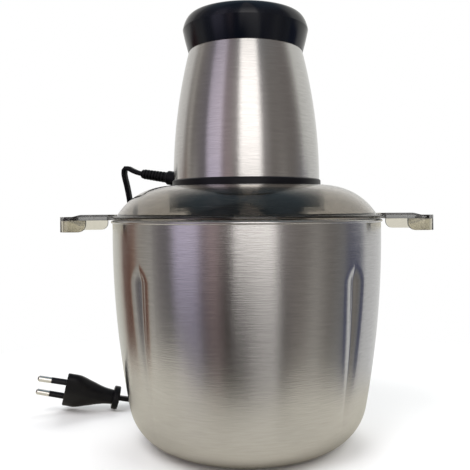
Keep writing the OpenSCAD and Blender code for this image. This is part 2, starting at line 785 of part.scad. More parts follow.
module carrier_screws() {
    color("gray") around(3, 90, carrier_screw_circle) translate([0, 0, carrier_z - 1.4])
        screw(1.1, 2.3, 1.4, carrier_t + 5);
}

module speed_diode() {
    color("#202020") translate([0, diode_y, carrier_top_z]) {
        translate([-4.5, 0, 2.6]) rotate([0, 90, 0]) cylinder(h = 9, r = 2.6, $fn = 32);
        for (s = [-1, 1]) translate([s * 6.4, 0, 0]) {
            cylinder(h = 2.6, r = 0.5, $fn = 16);
            translate([s > 0 ? -2 : -0.5, -0.5, 2.1]) cube([2.5, 1, 1]);
        }
    }
}

module suppression_capacitor() {
    cap_x = 18;
    cap_y = 8;
    color("goldenrod") translate([-cap_x / 2, spigot_in_r - cap_y - 1.5, ledge_z]) {
        cube([cap_x, cap_y, 13]);
        translate([2, cap_y / 2, 13]) cylinder(h = 3, r = 0.5, $fn = 16);
        translate([cap_x - 2, cap_y / 2, 13]) cylinder(h = 3, r = 0.5, $fn = 16);
    }
}

module rubber_mounts() {
    color("#303030") around(4, 0, mount_circle) ring(4.4, 1.7, floor_z, mount_h);
}

module lower_bracket() {
    color("slategray") difference() {
        union() {
            translate([0, 0, lower_plate_z]) cylinder(h = bracket_t, r = stator_r);
            translate([0, 0, lower_boss_z]) cylinder(h = lower_plate_z - lower_boss_z, r = bearing_r + 3);
            around(4, 0, mount_circle) translate([0, 0, floor_z + mount_h])
                cylinder(h = lower_plate_z - floor_z - mount_h, r = 4, $fn = 32);
            around(4, 45, motor_screw_circle) translate([0, 0, lower_plate_z + bracket_t])
                cylinder(h = stator_z - lower_plate_z - bracket_t, r = post_r, $fn = 32);
        }
        translate([0, 0, lower_boss_z - 1]) cylinder(h = bearing_h + 1, r = bearing_r + seat_fit);
        translate([0, 0, lower_boss_z]) cylinder(h = 20, r = shaft_r + 1.5);
        around(4, 0, mount_circle) translate([0, 0, floor_z]) cylinder(h = 10, r = 1.3, $fn = 24);
        around(4, 45, motor_screw_circle) translate([0, 0, lower_plate_z - 1])
            cylinder(h = 30, r = 1.6, $fn = 24);
        around(8, 22.5, 17) translate([0, 0, lower_plate_z - 1]) cylinder(h = bracket_t + 2, r = 2.6, $fn = 24);
    }
}

module bearing(z) {
    color("silver") difference() {
        ring(bearing_r, shaft_r + running_fit, z, bearing_h);
        ring(bearing_r - 1.4, shaft_r + 1.6, z - 1, 1.4);
        ring(bearing_r - 1.4, shaft_r + 1.6, z + bearing_h - 0.4, 1.4);
    }
}

module lower_bearing() {
    bearing(lower_boss_z);
}

module upper_bearing() {
    bearing(upper_boss_top_z - bearing_h - 0.5);
}

// Plan of one stator sheet: a round yoke and two poles along Y with curved shoes
module stator_plan() {
    bore_r = rotor_r + air_gap;
    difference() {
        circle(r = stator_r);
        circle(r = yoke_in_r);
        for (a = [45:90:315]) rotate([0, 0, a]) translate([motor_screw_circle, 0]) circle(r = 1.7, $fn = 24);
    }
    for (s = [-1, 1]) difference() {
        union() {
            intersection() {
                circle(r = yoke_in_r + 1);
                translate([-7, s > 0 ? 0 : -stator_r]) square([14, stator_r]);
            }
            intersection() {
                circle(r = coil_in_r - 0.4);
                polygon([[0, 0], [stator_r, s * 15], [stator_r, s * stator_r], [-stator_r, s * stator_r],
                    [-stator_r, s * 15]]);
            }
        }
        circle(r = bore_r);
    }
}

module stator_core() {
    color("darkgray") translate([0, 0, stator_z]) linear_extrude(stator_h) stator_plan();
}

module field_coils() {
    color("chocolate") for (s = [0, 180]) rotate([0, 0, s]) difference() {
        intersection() {
            ring(yoke_in_r - 0.2, coil_in_r - 0.2, stator_z - winding_h, stator_h + 2 * winding_h);
            translate([0, 0, stator_z - winding_h]) linear_extrude(stator_h + 2 * winding_h)
                polygon([[0, 0], [stator_r, 13], [stator_r, stator_r], [-stator_r, stator_r],
                    [-stator_r, 13]]);
        }
        translate([-7.2, 0, stator_z - 0.1]) cube([14.4, stator_r, stator_h + 0.2]);
    }
}

module upper_bracket() {
    color("slategray") difference() {
        union() {
            translate([0, 0, upper_plate_z]) cylinder(h = bracket_t, r = stator_r);
            translate([0, 0, upper_plate_z]) cylinder(h = upper_boss_top_z - upper_plate_z, r = bearing_r + 2);
            around(4, 45, motor_screw_circle) translate([0, 0, stator_top_z])
                cylinder(h = upper_plate_z - stator_top_z, r = post_r, $fn = 32);
        }
        translate([0, 0, upper_boss_top_z - bearing_h - 0.5])
            cylinder(h = bearing_h + 2, r = bearing_r + seat_fit);
        translate([0, 0, upper_plate_z - 1]) cylinder(h = 12, r = shaft_r + 1.5);
        around(4, 45, motor_screw_circle) translate([0, 0, stator_top_z - 1])
            cylinder(h = 30, r = 1.6, $fn = 24);
        around(4, 0, 18.5) translate([0, 0, upper_plate_z - 1]) cylinder(h = bracket_t + 2, r = 3, $fn = 24);
    }
}

module motor_screws() {
    color("gray") around(4, 45, motor_screw_circle) translate([0, 0, lower_plate_z - 2])
        screw(1.5, 2.9, 2, upper_plate_z + bracket_t - lower_plate_z - 0.5);
}

module base_screws() {
    color("gray") around(4, 0, mount_circle) translate([0, 0, step_foot_z + 0.2])
        screw(1.2, 3, 1, floor_t + mount_h + 6);
}

module brush_holders() {
    w = brush_w + 0.4;
    h = brush_h + 0.4;
    color("goldenrod") for (a = [0, 180]) rotate([0, 0, a]) difference() {
        union() {
            translate([commutator_r + 0.8, -w / 2 - holder_wall, brush_z - h / 2 - holder_wall])
                cube([holder_end + holder_wall - commutator_r - 0.8, w + 2 * holder_wall, h + 2 * holder_wall]);
            translate([commutator_r + 3.2, -2, brush_z]) cube([3, 4, upper_plate_z - brush_z]);
        }
        translate([commutator_r, -w / 2, brush_z - h / 2]) cube([holder_end - commutator_r, w, h]);
    }
}

module carbon_brushes() {
    color("#252525") for (a = [0, 180]) rotate([0, 0, a]) difference() {
        translate([commutator_r - 1, -brush_w / 2, brush_z - brush_h / 2 - 0.2])
            cube([brush_l + 1, brush_w, brush_h]);
        translate([0, 0, brush_z - brush_h]) cylinder(h = 2 * brush_h, r = brush_tip_r);
    }
}

module brush_springs() {
    color("silver") for (a = [0, 180]) rotate([0, 0, a]) translate([commutator_r + brush_l, 0, brush_z])
        rotate([0, 90, 0]) spring(1.7, 0.3, holder_end - commutator_r - brush_l, 4);
}

module cord_clamp() {
    cord_z = exit_point[2] - ledge_z - (sleeve_r - clamp_at) * tan(exit_rise);
    color("dimgray") rotate([0, 0, exit_turn]) translate([clamp_at, 0, ledge_z]) difference() {
        union() {
            translate([0, -5, 0]) cube([1.6, 10, cord_z + 4]);
            translate([0, -3.5, 0]) cube([clamp_foot_l, 7, clamp_foot_t]);
        }
        translate([-1, 0, cord_z + 0.3]) rotate([0, 90, 0]) cylinder(h = 4, r = 1.8, $fn = 24);
        translate([clamp_screw_at, 0, -1]) cylinder(h = 4, r = 1.3, $fn = 24);
    }
}

module clamp_screw() {
    head_h = 1.4;
    color("gray") rotate([0, 0, exit_turn])
        translate([clamp_at + clamp_screw_at, 0, ledge_z + clamp_foot_t + head_h]) mirror([0, 0, 1])
        screw(1.2, 2.4, head_h, clamp_foot_t);
}

module strain_relief() {
    rib_count = 8;
    tail_l = relief_l - relief_collar_l;
    rib_pitch = (tail_l - 1) / rib_count;
    color("#141518") at_exit() difference() {
        union() {
            translate([0, 0, relief_flange_at]) cylinder(h = relief_flange_t, r = relief_flange_r, $fn = 48);
            translate([0, 0, relief_flange_at])
                cylinder(h = relief_collar_l - relief_flange_at, r = relief_collar_r, $fn = 48);
            translate([0, 0, relief_collar_l]) cylinder(h = tail_l, r1 = relief_root_r, r2 = relief_tip_r, $fn = 48);
        }
        for (i = [0:rib_count - 1]) translate([0, 0, relief_collar_l + (i + 0.3) * rib_pitch])
            ring(relief_root_r + 1, relief_tip_r - 0.7, 0, rib_pitch * 0.45);
    }
}

module motor_shaft() {
    color("silver") translate([0, 0, dog_z + 3]) cylinder(h = shaft_top_z - dog_z - 3, r = shaft_r);
}

module rotor_core() {
    color("dimgray") difference() {
        ring(rotor_r, shaft_r + seat_fit, stator_z, stator_h);
        around(slot_count, 0, rotor_r) translate([-4, -0.9, stator_z - 1]) cube([6, 1.8, stator_h + 2]);
    }
}

module armature_winding() {
    color("sienna") {
        ring(rotor_r - 1.8, shaft_r + seat_fit, stator_z - winding_h, winding_h);
        ring(rotor_r - 1.8, shaft_r + seat_fit, stator_top_z, commutator_z - stator_top_z);
        around(slot_count, 0, rotor_r - 2.4) translate([-1.4, -0.8, stator_z]) cube([2.4, 1.6, stator_h]);
    }
}

module commutator() {
    color("orangered") difference() {
        ring(commutator_r, shaft_r + seat_fit, commutator_z, commutator_h);
        around(slot_count, 15, commutator_r) translate([-0.8, -0.25, commutator_z - 1])
            cube([2, 0.5, commutator_h + 2]);
    }
}

module cooling_fan() {
    hub_r = 7;
    color("white") {
        ring(fan_r, shaft_r + seat_fit, fan_z, 1.4);
        ring(hub_r, shaft_r + seat_fit, fan_z + 1.4, 7);
        difference() {
            around(fan_blades, 0, 0) rotate([0, 0, 12]) translate([hub_r - 0.6, -0.5, fan_z + 1.4])
                cube([fan_r - hub_r, 1, 5]);
            ring(fan_r + 9, fan_r, fan_z - 1, 9);
        }
    }
}

module drive_dog() {
    color("#2c2c2c") difference() {
        union() {
            translate([0, 0, dog_z + 1]) cylinder(h = dog_h - 1, r = hex_r, $fn = 6);
            translate([0, 0, dog_z]) intersection() {
                cylinder(h = 1, r = hex_r, $fn = 6);
                cylinder(h = 1, r1 = hex_r - 1, r2 = hex_r);
            }
            translate([0, 0, dog_z + dog_h]) cylinder(h = boss_z - 0.5 - dog_z - dog_h, r = shaft_r + 2);
        }
        translate([0, 0, dog_z + 3]) cylinder(h = 40, r = shaft_r + seat_fit);
    }
}

module cord_drop() {
    color("#101114") tube(concat([relief_tip], drop_route), cord_tube_r, 8);
}

module cord_tail() {
    color("#101114") tube(concat(tail_route, [plug_rear]), cord_tube_r, 8);
}

// The storage coil: two layers of two turns
module cord_coil() {
    color("#17181c") translate([coil_at[0], coil_at[1], coil_z]) rotate_extrude() difference() {
        translate([coil_mean_r - cord_w, 0]) square([2 * cord_w, 2 * cord_t]);
        for (z = [0, 2 * cord_t]) translate([coil_mean_r, z]) circle(r = 0.5, $fn = 16);
    }
}

module cord_tie() {
    w = 5;
    inner_w = 2 * (cord_w + tie_slack);
    inner_h = 2 * cord_t + 2 * seat_fit;
    color("#35363b") translate([coil_at[0] + coil_mean_r, coil_at[1], coil_z - seat_fit]) difference() {
        translate([-inner_w / 2 - tie_t, -w / 2, -tie_t]) cube([inner_w + 2 * tie_t, w, inner_h + 2 * tie_t]);
        translate([-inner_w / 2, -w, 0]) cube([inner_w, 2 * w, inner_h]);
    }
}

// Places a child in the plug's frame: X along the pins, Y across them
module at_plug() {
    translate(plug_rear) rotate([0, -plug_rise, plug_turn]) rotate([plug_roll, 0, 0]) children();
}

// Eight corners of a section of the plug's body at x: width, thickness, side height and flat width
function plug_section(x, w, t, side_h, flat_w) = [
    [x, w / 2, -side_h / 2], [x, w / 2, side_h / 2], [x, flat_w / 2, t / 2], [x, -flat_w / 2, t / 2],
    [x, -w / 2, side_h / 2], [x, -w / 2, -side_h / 2], [x, -flat_w / 2, -t / 2], [x, flat_w / 2, -t / 2]
];

module plug_body() {
    disc_r = 7.8;
    disc_t = 4.2;
    neck_w = 9.4;
    sections = [
        plug_section(disc_t - 1, neck_w, neck_w, 3.9, 3.9),
        plug_section(0.3 * plug_l, 0.37 * plug_w, 0.76 * plug_t, 0.3 * plug_t, 0.17 * plug_w),
        plug_section(0.55 * plug_l, 0.64 * plug_w, 0.92 * plug_t, 0.38 * plug_t, 0.36 * plug_w),
        plug_section(0.78 * plug_l, plug_w, plug_t, 0.46 * plug_t, 0.66 * plug_w),
        plug_section(plug_l, plug_w, plug_t, 0.46 * plug_t, 0.66 * plug_w)
    ];
    last = len(sections) - 1;
    walls = [for (i = [0:last - 1]) for (k = [0:7])
        let (a = i * 8 + k, b = i * 8 + (k + 1) % 8) [a, a + 8, b + 8, b]];
    ends = [[for (k = [0:7]) k], [for (k = [7:-1:0]) last * 8 + k]];
    color("#141519") at_plug() {
        polyhedron(points = [for (s = sections) each s], faces = concat(walls, ends), convexity = 4);
        rotate([0, 90, 0]) cylinder(h = disc_t, r = disc_r, $fn = 48);
    }
}

// One pin axis, leaning inward by the spring of the plug
module at_pins() {
    lean = 1.6;
    for (s = [-1, 1]) at_plug() translate([plug_l, s * pin_spacing / 2, 0]) rotate([0, 90, -s * lean])
        children();
}

module plug_pins() {
    bare = pin_l - 10;
    color("silver") at_pins() translate([0, 0, 10]) {
        cylinder(h = bare - 1, r = plug_pin_r, $fn = 32);
        translate([0, 0, bare - 1]) cylinder(h = 1, r1 = plug_pin_r, r2 = plug_pin_r - 0.9, $fn = 32);
    }
}

module pin_sleeves() {
    color("#1b1c20") at_pins() translate([0, 0, 0.1]) cylinder(h = 9.9, r = plug_pin_r, $fn = 32);
}

bowl();
bowl_pin();
lid();
lid_gasket();
collar_seal();
blade_spindle();
spindle_bush();
lower_blade();
blade_spacer();
upper_blade();
blade_nut();
head_base();
sleeve();
top_cap();
lower_bracket();
upper_bracket();
stator_core();
field_coils();
lower_bearing();
upper_bearing();
brush_holders();
carbon_brushes();
brush_springs();
motor_screws();
base_screws();
rubber_mounts();
shaft_seal();
switch_carrier();
carrier_screws();
switch_bodies();
button_spring_low();
button_spring_high();
speed_diode();
suppression_capacitor();
cord_clamp();
clamp_screw();
strain_relief();
motor_shaft();
rotor_core();
armature_winding();
commutator();
cooling_fan();
drive_dog();
button_low();
button_high();
cord_drop();
cord_coil();
cord_tail();
cord_tie();
plug_body();
plug_pins();
pin_sleeves();
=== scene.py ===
import json
import math

import bmesh
import bpy
from mathutils import Matrix, Vector


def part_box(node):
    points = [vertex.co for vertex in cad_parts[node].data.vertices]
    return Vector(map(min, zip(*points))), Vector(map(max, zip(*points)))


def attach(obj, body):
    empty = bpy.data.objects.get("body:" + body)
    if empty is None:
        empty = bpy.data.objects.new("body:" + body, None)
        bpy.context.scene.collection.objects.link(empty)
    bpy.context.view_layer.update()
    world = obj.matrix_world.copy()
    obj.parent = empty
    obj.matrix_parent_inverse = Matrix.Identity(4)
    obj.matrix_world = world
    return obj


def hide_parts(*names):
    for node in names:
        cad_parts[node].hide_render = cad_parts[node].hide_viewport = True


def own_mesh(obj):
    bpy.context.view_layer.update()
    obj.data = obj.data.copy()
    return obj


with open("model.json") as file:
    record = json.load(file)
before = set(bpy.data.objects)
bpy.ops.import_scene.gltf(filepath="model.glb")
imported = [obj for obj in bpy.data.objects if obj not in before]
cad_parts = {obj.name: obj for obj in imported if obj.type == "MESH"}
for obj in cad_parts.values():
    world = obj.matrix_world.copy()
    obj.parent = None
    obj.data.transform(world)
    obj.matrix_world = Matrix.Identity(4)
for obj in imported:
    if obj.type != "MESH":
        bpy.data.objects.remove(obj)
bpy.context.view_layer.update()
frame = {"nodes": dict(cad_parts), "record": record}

MM = 0.001


# Camera: the photograph's view, with its slight roll

CAMERA_AT = (0, -0.384, 0.1367)
FOCAL_MM = 48.1
SENSOR_MM = 36.0
PICTURE_W = 470
AXIS_COLUMN = 246.7
HORIZON_ROW = 212.7
ROLL = math.radians(0.4)


def make_camera():
    data = bpy.data.cameras.new("camera")
    data.lens = FOCAL_MM
    data.sensor_width = SENSOR_MM
    data.shift_x = (PICTURE_W / 2 - AXIS_COLUMN) / PICTURE_W
    data.shift_y = (HORIZON_ROW - PICTURE_W / 2) / PICTURE_W
    data.clip_start = 0.01
    camera = bpy.data.objects.new("camera", data)
    bpy.context.scene.collection.objects.link(camera)
    camera.matrix_world = (
        Matrix.Translation(CAMERA_AT) @ Matrix.Rotation(math.pi / 2, 4, "X")
        @ Matrix.Rotation(-ROLL, 4, "Z")
    )
    bpy.context.scene.camera = camera


# Mesh helpers: profiles and routes are in millimetres, meshes in metres

def smooth_step(t):
    t = min(max(t, 0.0), 1.0)
    return t * t * (3 - 2 * t)


def arc(centre, radius, start, end, steps, skip=0):
    """Points of an arc from angle start to angle end, in degrees."""
    points = []
    for i in range(skip, steps + 1):
        a = math.radians(start + (end - start) * i / steps)
        points.append((centre[0] + radius * math.cos(a), centre[1] + radius * math.sin(a)))
    return points


def shade(mesh, sharp_degrees=32):
    """Smooth faces, with the edges sharp where two faces meet at more than an angle."""
    work = bmesh.new()
    work.from_mesh(mesh)
    bmesh.ops.recalc_face_normals(work, faces=work.faces)
    limit = math.radians(sharp_degrees)
    for face in work.faces:
        face.smooth = True
    for edge in work.edges:
        edge.smooth = len(edge.link_faces) == 2 and edge.calc_face_angle(0) < limit
    work.to_mesh(mesh)
    work.free()


def mesh_object(name, points, faces, sharp_degrees=32):
    """A new object from points in millimetres."""
    mesh = bpy.data.meshes.new(name)
    mesh.from_pydata([Vector(p) * MM for p in points], [], faces)
    mesh.validate()
    shade(mesh, sharp_degrees)
    piece = bpy.data.objects.new(name, mesh)
    bpy.context.scene.collection.objects.link(piece)
    return piece


def turned(profile, angles, dent=None):
    """Points and faces of a closed profile of (radius, height) turned round Z.

    Dent is a function of angle and height that says how far a point moves in.
    """
    points = []
    rings = []
    count = len(angles)
    for r, z in profile:
        if r < 1e-6:
            rings.append([len(points)] * count)
            points.append((0, 0, z))
            continue
        ring = []
        for a in angles:
            depth = dent(a, z) if dent else 0
            ring.append(len(points))
            points.append(((r - depth) * math.cos(a), (r - depth) * math.sin(a), z))
        rings.append(ring)
    faces = []
    closed = rings if profile[0][0] < 1e-6 and profile[-1][0] < 1e-6 else rings + [rings[0]]
    for low, high in zip(closed, closed[1:]):
        for i in range(count):
            j = (i + 1) % count
            loop = [low[i], low[j], high[j], high[i]]
            loop = [v for k, v in enumerate(loop) if v != loop[k - 1]]
            if len(loop) > 2:
                faces.append(loop)
    return points, faces


def even_angles(count):
    return [2 * math.pi * i / count for i in range(count)]


def lathe(name, profile, count=160, sharp_degrees=32):
    points, faces = turned(profile, even_angles(count))
    return mesh_object(name, points, faces, sharp_degrees)


def prism(name, outline, low, high, axis="Z"):
    """A closed outline extruded between two heights along Z, or along Y with the outline in X and Z."""
    count = len(outline)
    place = {"Z": lambda p, h: (p[0], p[1], h), "Y": lambda p, h: (p[0], h, p[1])}[axis]
    points = [place(p, low) for p in outline] + [place(p, high) for p in outline]
    faces = [list(range(count))[::-1], list(range(count, 2 * count))]
    faces += [[i, (i + 1) % count, count + (i + 1) % count, count + i] for i in range(count)]
    return mesh_object(name, points, faces)


def apply_modifiers(piece):
    """Puts the result of the modifiers in the mesh."""
    graph = bpy.context.evaluated_depsgraph_get()
    result = bpy.data.meshes.new_from_object(piece.evaluated_get(graph))
    piece.modifiers.clear()
    piece.data = result
    return piece


def combine(piece, other, operation):
    """A boolean of two closed pieces; the second one goes."""
    step = piece.modifiers.new("combine", "BOOLEAN")
    step.operation = operation
    step.object = other
    step.solver = "EXACT"
    apply_modifiers(piece)
    bpy.data.objects.remove(other)
    return piece


def round_edges(piece, width, segments=2, angle=40):
    step = piece.modifiers.new("round", "BEVEL")
    step.width = width * MM
    step.segments = segments
    step.limit_method = "ANGLE"
    step.angle_limit = math.radians(angle)
    return apply_modifiers(piece)


# Materials

class Graph:
    """The node tree of a material or a world, with short ways to add nodes."""

    def __init__(self, owner):
        owner.use_nodes = True
        self.nodes = owner.node_tree.nodes
        self.links = owner.node_tree.links

    def feed(self, socket, value):
        """Gives a socket a plain value, another socket or the first output of a node."""
        if isinstance(value, bpy.types.Node):
            value = value.outputs[0]
        if isinstance(value, bpy.types.NodeSocket):
            self.links.new(value, socket)
        else:
            socket.default_value = value

    def add(self, kind, *values, **settings):
        """A new node with its settings and what its first inputs get."""
        node = self.nodes.new(kind)
        for key, value in settings.items():
            setattr(node, key, value)
        for socket, value in zip(node.inputs, values):
            self.feed(socket, value)
        return node

    def math(self, operation, *values):
        return self.add("ShaderNodeMath", *values, operation=operation)

    def span(self, value, low, high, start=0.0, end=1.0):
        """A value that goes from start to end between two others, and no further."""
        return self.add("ShaderNodeMapRange", value, low, high, start, end)

    def ramp(self, share, stops, low, high):
        """A colour ramp. Share is 0 at low and 1 at high; a stop is (value, colour or number)."""
        node = self.add("ShaderNodeValToRGB", share)
        elements = node.color_ramp.elements
        while len(elements) > 1:
            elements.remove(elements[-1])
        for i, (stop, color) in enumerate(stops):
            place = (stop - low) / (high - low)
            element = elements[0] if i == 0 else elements.new(place)
            element.position = place
            element.color = (*color, 1) if isinstance(color, tuple) else (color, color, color, 1)
        return node

    def mix(self, data_type, factor, a, b):
        """A blend of two colours (RGBA) or two numbers (FLOAT)."""
        node = self.add("ShaderNodeMix", data_type=data_type)
        for name, value in (("Factor", factor), ("A", a), ("B", b)):
            self.feed(node.inputs[name], value)
        return node.outputs["Result"]


class Look(Graph):
    """A material round one Principled shader, with short ways to add texture."""

    NOISE_LOW = 0.3
    NOISE_HIGH = 0.7

    def __init__(self, name, color, roughness, **values):
        self.material = bpy.data.materials.new(name)
        super().__init__(self.material)
        self.shader = self.nodes["Principled BSDF"]
        self.shader.inputs["Base Color"].default_value = (*color, 1)
        self.shader.inputs["Roughness"].default_value = roughness
        for word, value in values.items():
            socket = word.replace("_", " ").title().replace("Ior", "IOR")
            self.shader.inputs[socket].default_value = value
        self.normal = None

    def noise(self, scale, squeeze=(1, 1, 1), detail=3, rough=0.5):
        """Noise in metres of the object, made finer along each axis by squeeze."""
        coords = self.add("ShaderNodeTexCoord")
        place = self.add("ShaderNodeMapping", coords.outputs["Object"])
        place.inputs["Scale"].default_value = [scale * s for s in squeeze]
        noise = self.add("ShaderNodeTexNoise", place)
        noise.inputs["Scale"].default_value = 1
        noise.inputs["Detail"].default_value = detail
        noise.inputs["Roughness"].default_value = rough
        return noise.outputs["Fac"]

    def by_height(self, low, high, below, above):
        """A value that changes between two heights of the object, in metres."""
        coords = self.add("ShaderNodeTexCoord")
        split = self.add("ShaderNodeSeparateXYZ", coords.outputs["Object"])
        return self.span(split.outputs["Z"], low, high, below, above)

    def rings(self, scale, unevenness):
        """Lines one above the other, along the height of the object."""
        coords = self.add("ShaderNodeTexCoord")
        place = coords.outputs["Object"]
        wave = self.add("ShaderNodeTexWave", place, scale, unevenness, bands_direction="Z")
        return wave.outputs["Fac"]

    def spread(self, value, low, high):
        """The usual values of a noise, brought to a range."""
        return self.span(value, self.NOISE_LOW, self.NOISE_HIGH, low, high)

    def vary_roughness(self, value, low, high):
        self.feed(self.shader.inputs["Roughness"], self.spread(value, low, high))

    def vary_color(self, value, dark, light):
        mixed = self.mix("RGBA", self.spread(value, 0, 1), (*dark, 1), (*light, 1))
        self.feed(self.shader.inputs["Base Color"], mixed)

    def bump(self, value, distance, strength=1.0):
        step = self.add("ShaderNodeBump")
        self.feed(step.inputs["Distance"], distance)
        self.feed(step.inputs["Strength"], strength)
        self.feed(step.inputs["Height"], value)
        if self.normal is not None:
            self.feed(step.inputs["Normal"], self.normal)
        self.normal = step
        self.feed(self.shader.inputs["Normal"], step)


def tint(color, factor):
    return [min(1, c * factor) for c in color]


BRUSH_LINES = 110
BRUSH_PATCHES = 26
JITTER_FADE_Z = (0.13, 0.17)
SLEEVE_JITTER = 0.3


def brushed(name, color, roughness, jitter):
    """Steel brushed round the axis: reflections stay sharp sideways and blur up and down.

    Jitter turns the normal a little round the axis from line to line, and less on the sleeve.
    """
    look = Look(name, color, roughness, metallic=1.0, anisotropic=1.0, anisotropic_rotation=0.25)
    tangent = look.add("ShaderNodeTangent", direction_type="RADIAL", axis="Z")
    look.feed(look.shader.inputs["Tangent"], tangent)
    lines = look.noise(BRUSH_LINES, squeeze=(1, 1, 19), rough=0.6)
    patches = look.noise(BRUSH_PATCHES, squeeze=(1, 1, 7), rough=0.6)
    upright = look.add("ShaderNodeCombineXYZ")
    look.feed(upright.inputs["Z"], look.by_height(*JITTER_FADE_Z, 1.0, SLEEVE_JITTER))
    turn = look.add("ShaderNodeNewGeometry").outputs["Normal"]
    across = look.add("ShaderNodeVectorMath", upright, turn, operation="CROSS_PRODUCT")
    for value, share in ((lines, jitter), (patches, 0.5 * jitter)):
        shift = look.add("ShaderNodeVectorMath", across, operation="SCALE")
        look.feed(shift.inputs["Scale"], look.spread(value, -share, share))
        turn = look.add("ShaderNodeVectorMath", turn, shift, operation="ADD")
    look.normal = look.add("ShaderNodeVectorMath", turn, operation="NORMALIZE")
    look.bump(lines, 0.00008, 0.6)
    look.vary_color(lines, tint(color, 0.92), tint(color, 1.06))
    return look.material


def plain_metal(name, color, roughness, scale=240, squeeze=(1, 1, 1)):
    look = Look(name, color, roughness, metallic=1.0)
    grain = look.noise(scale, squeeze, detail=4)
    look.vary_roughness(grain, roughness * 0.7, roughness * 1.4)
    look.vary_color(grain, tint(color, 0.88), color)
    look.bump(grain, 0.00002, 0.5)
    return look.material


def moulded(name, color, roughness, grain=0.00002, scale=900, specular=0.5, **values):
    look = Look(name, color, roughness, **values)
    look.shader.inputs["Specular IOR Level"].default_value = specular
    skin = look.noise(scale)
    wear = look.noise(38)
    look.vary_roughness(wear, roughness * 0.8, roughness * 1.25)
    look.vary_color(wear, tint(color, 0.88), tint(color, 1.08))
    look.bump(skin, grain, 0.6)
    return look.material


def wound(name, color, pitch):
    """Varnished wire laid in lines, painted darker in the hollows between the turns as shade."""
    look = Look(name, color, 0.3, metallic=0.85, coat_weight=0.6)
    lines = look.rings(0.3 / pitch, 1.2)
    # Painted shade: the wire is darker in the hollows between turns
    look.vary_color(lines, tint(color, 0.45), color)
    look.bump(lines, pitch * 0.35)
    return look.material


def stacked_sheets(name, color, pitch):
    """Edges of thin sheets in a stack."""
    look = Look(name, color, 0.45, metallic=1.0)
    lines = look.rings(0.3 / pitch, 0.4)
    look.vary_color(lines, tint(color, 0.55), color)
    look.bump(lines, pitch * 0.2)
    return look.material


def smoky(name, color, roughness, specular=0.5, shade_above=None):
    """Smoked see-through plastic with an uneven skin. A colour given for above the foot of the flange is
    painted shade, the dark line of thick plastic seen edge-on.
    """
    look = Look(name, color, roughness, transmission_weight=1.0, ior=1.49)
    look.shader.inputs["Specular IOR Level"].default_value = specular
    # Above the foot of the flange the colour turns dark: painted shade of the ear's thick plastic seen
    # edge-on
    if shade_above:
        below = look.by_height((FLANGE_Z - 0.2) * MM, FLANGE_Z * MM, Look.NOISE_HIGH, Look.NOISE_LOW)
        look.vary_color(below, shade_above, color)
    else:
        look.vary_color(look.noise(24), tint(color, 0.96), color)
    look.vary_roughness(look.noise(420), 0.75 * roughness, 1.5 * roughness)
    look.bump(look.noise(16, detail=2), 0.00012, 0.25)
    return look.material


STEEL = (0.61, 0.605, 0.60)


def make_looks():
    return {
        "brushed_steel": brushed("brushed_steel", STEEL, 0.18, 0.005),
        "bright_steel": plain_metal("bright_steel", (0.72, 0.72, 0.73), 0.16),
        "smoky_plastic": smoky("smoky_plastic", (0.52, 0.49, 0.445), 0.035),
        # Ears: dark above the foot of the flange, a painted shade
        "smoky_ear": smoky("smoky_ear", (0.66, 0.63, 0.53), 0.05, shade_above=(0.22, 0.22, 0.215)),
        # Near black on the ears' cut ends and pad sides: painted shade, the dark lines of thick plastic
        # seen edge-on
        "edge_painted_shade": smoky("edge_painted_shade", (0.05, 0.05, 0.05), 0.3),
        "smoky_well": smoky("smoky_well", (0.60, 0.60, 0.58), 0.1, specular=0.03),
        "silicone": moulded("silicone", (0.80, 0.80, 0.77), 0.45, subsurface_weight=0.15),
        "white_plastic": moulded("white_plastic", (0.80, 0.80, 0.79), 0.35),
        "black_plastic": moulded("black_plastic", (0.005, 0.005, 0.007), 0.3, specular=0.2),
        "black_gloss": moulded(
            "black_gloss", (0.002, 0.003, 0.006), 0.12, grain=0.000006, specular=0.34
        ),
        "button_plastic": moulded("button_plastic", (0.03, 0.03, 0.034), 0.35),
        "black_rubber": moulded(
            "black_rubber", (0.005, 0.005, 0.006), 0.34, grain=0.00003, scale=650, specular=0.14
        ),
        "rubber": moulded("rubber", (0.03, 0.03, 0.03), 0.6),
        "bronze": plain_metal("bronze", (0.60, 0.42, 0.25), 0.35, 600, (1, 1, 4)),
        "brass": plain_metal("brass", (0.75, 0.58, 0.30), 0.3),
        "copper": wound("copper", (0.60, 0.28, 0.14), 0.0006),
        "aluminium": plain_metal("aluminium", (0.65, 0.65, 0.66), 0.42, 500),
        "lamination": stacked_sheets("lamination", (0.25, 0.25, 0.26), 0.0005),
        "carbon": moulded("carbon", (0.04, 0.04, 0.04), 0.55),
        "yellow_plastic": moulded("yellow_plastic", (0.75, 0.55, 0.10), 0.3),
        "nickel": plain_metal("nickel", (0.78, 0.77, 0.74), 0.2),
    }


def dress_frame(looks):
    """Every CAD node takes the look of its slot in the record."""
    for part in frame["record"]["subparts"]:
        node = frame["nodes"][part["node"]]
        node.data.materials.clear()
        node.data.materials.append(looks[part["material_slot"]])


def finish_piece(piece, body, slot, looks, *nodes):
    piece.data.materials.clear()
    piece.data.materials.append(looks[slot])
    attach(piece, body)
    if nodes:
        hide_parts(*nodes)
    return piece


# Levels of the construction, in millimetres

def top_of(node):
    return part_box(node)[1].z / MM


def foot_of(node):
    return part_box(node)[0].z / MM


BOWL_TOP = top_of("bowl")
LID_TOP = top_of("lid")
SLEEVE_FOOT = foot_of("sleeve")
SLEEVE_TOP = top_of("sleeve")
CAP_TOP = top_of("top_cap")


# Cord: straight out of the strain relief, down behind the bowl, round the coil and on to the plug

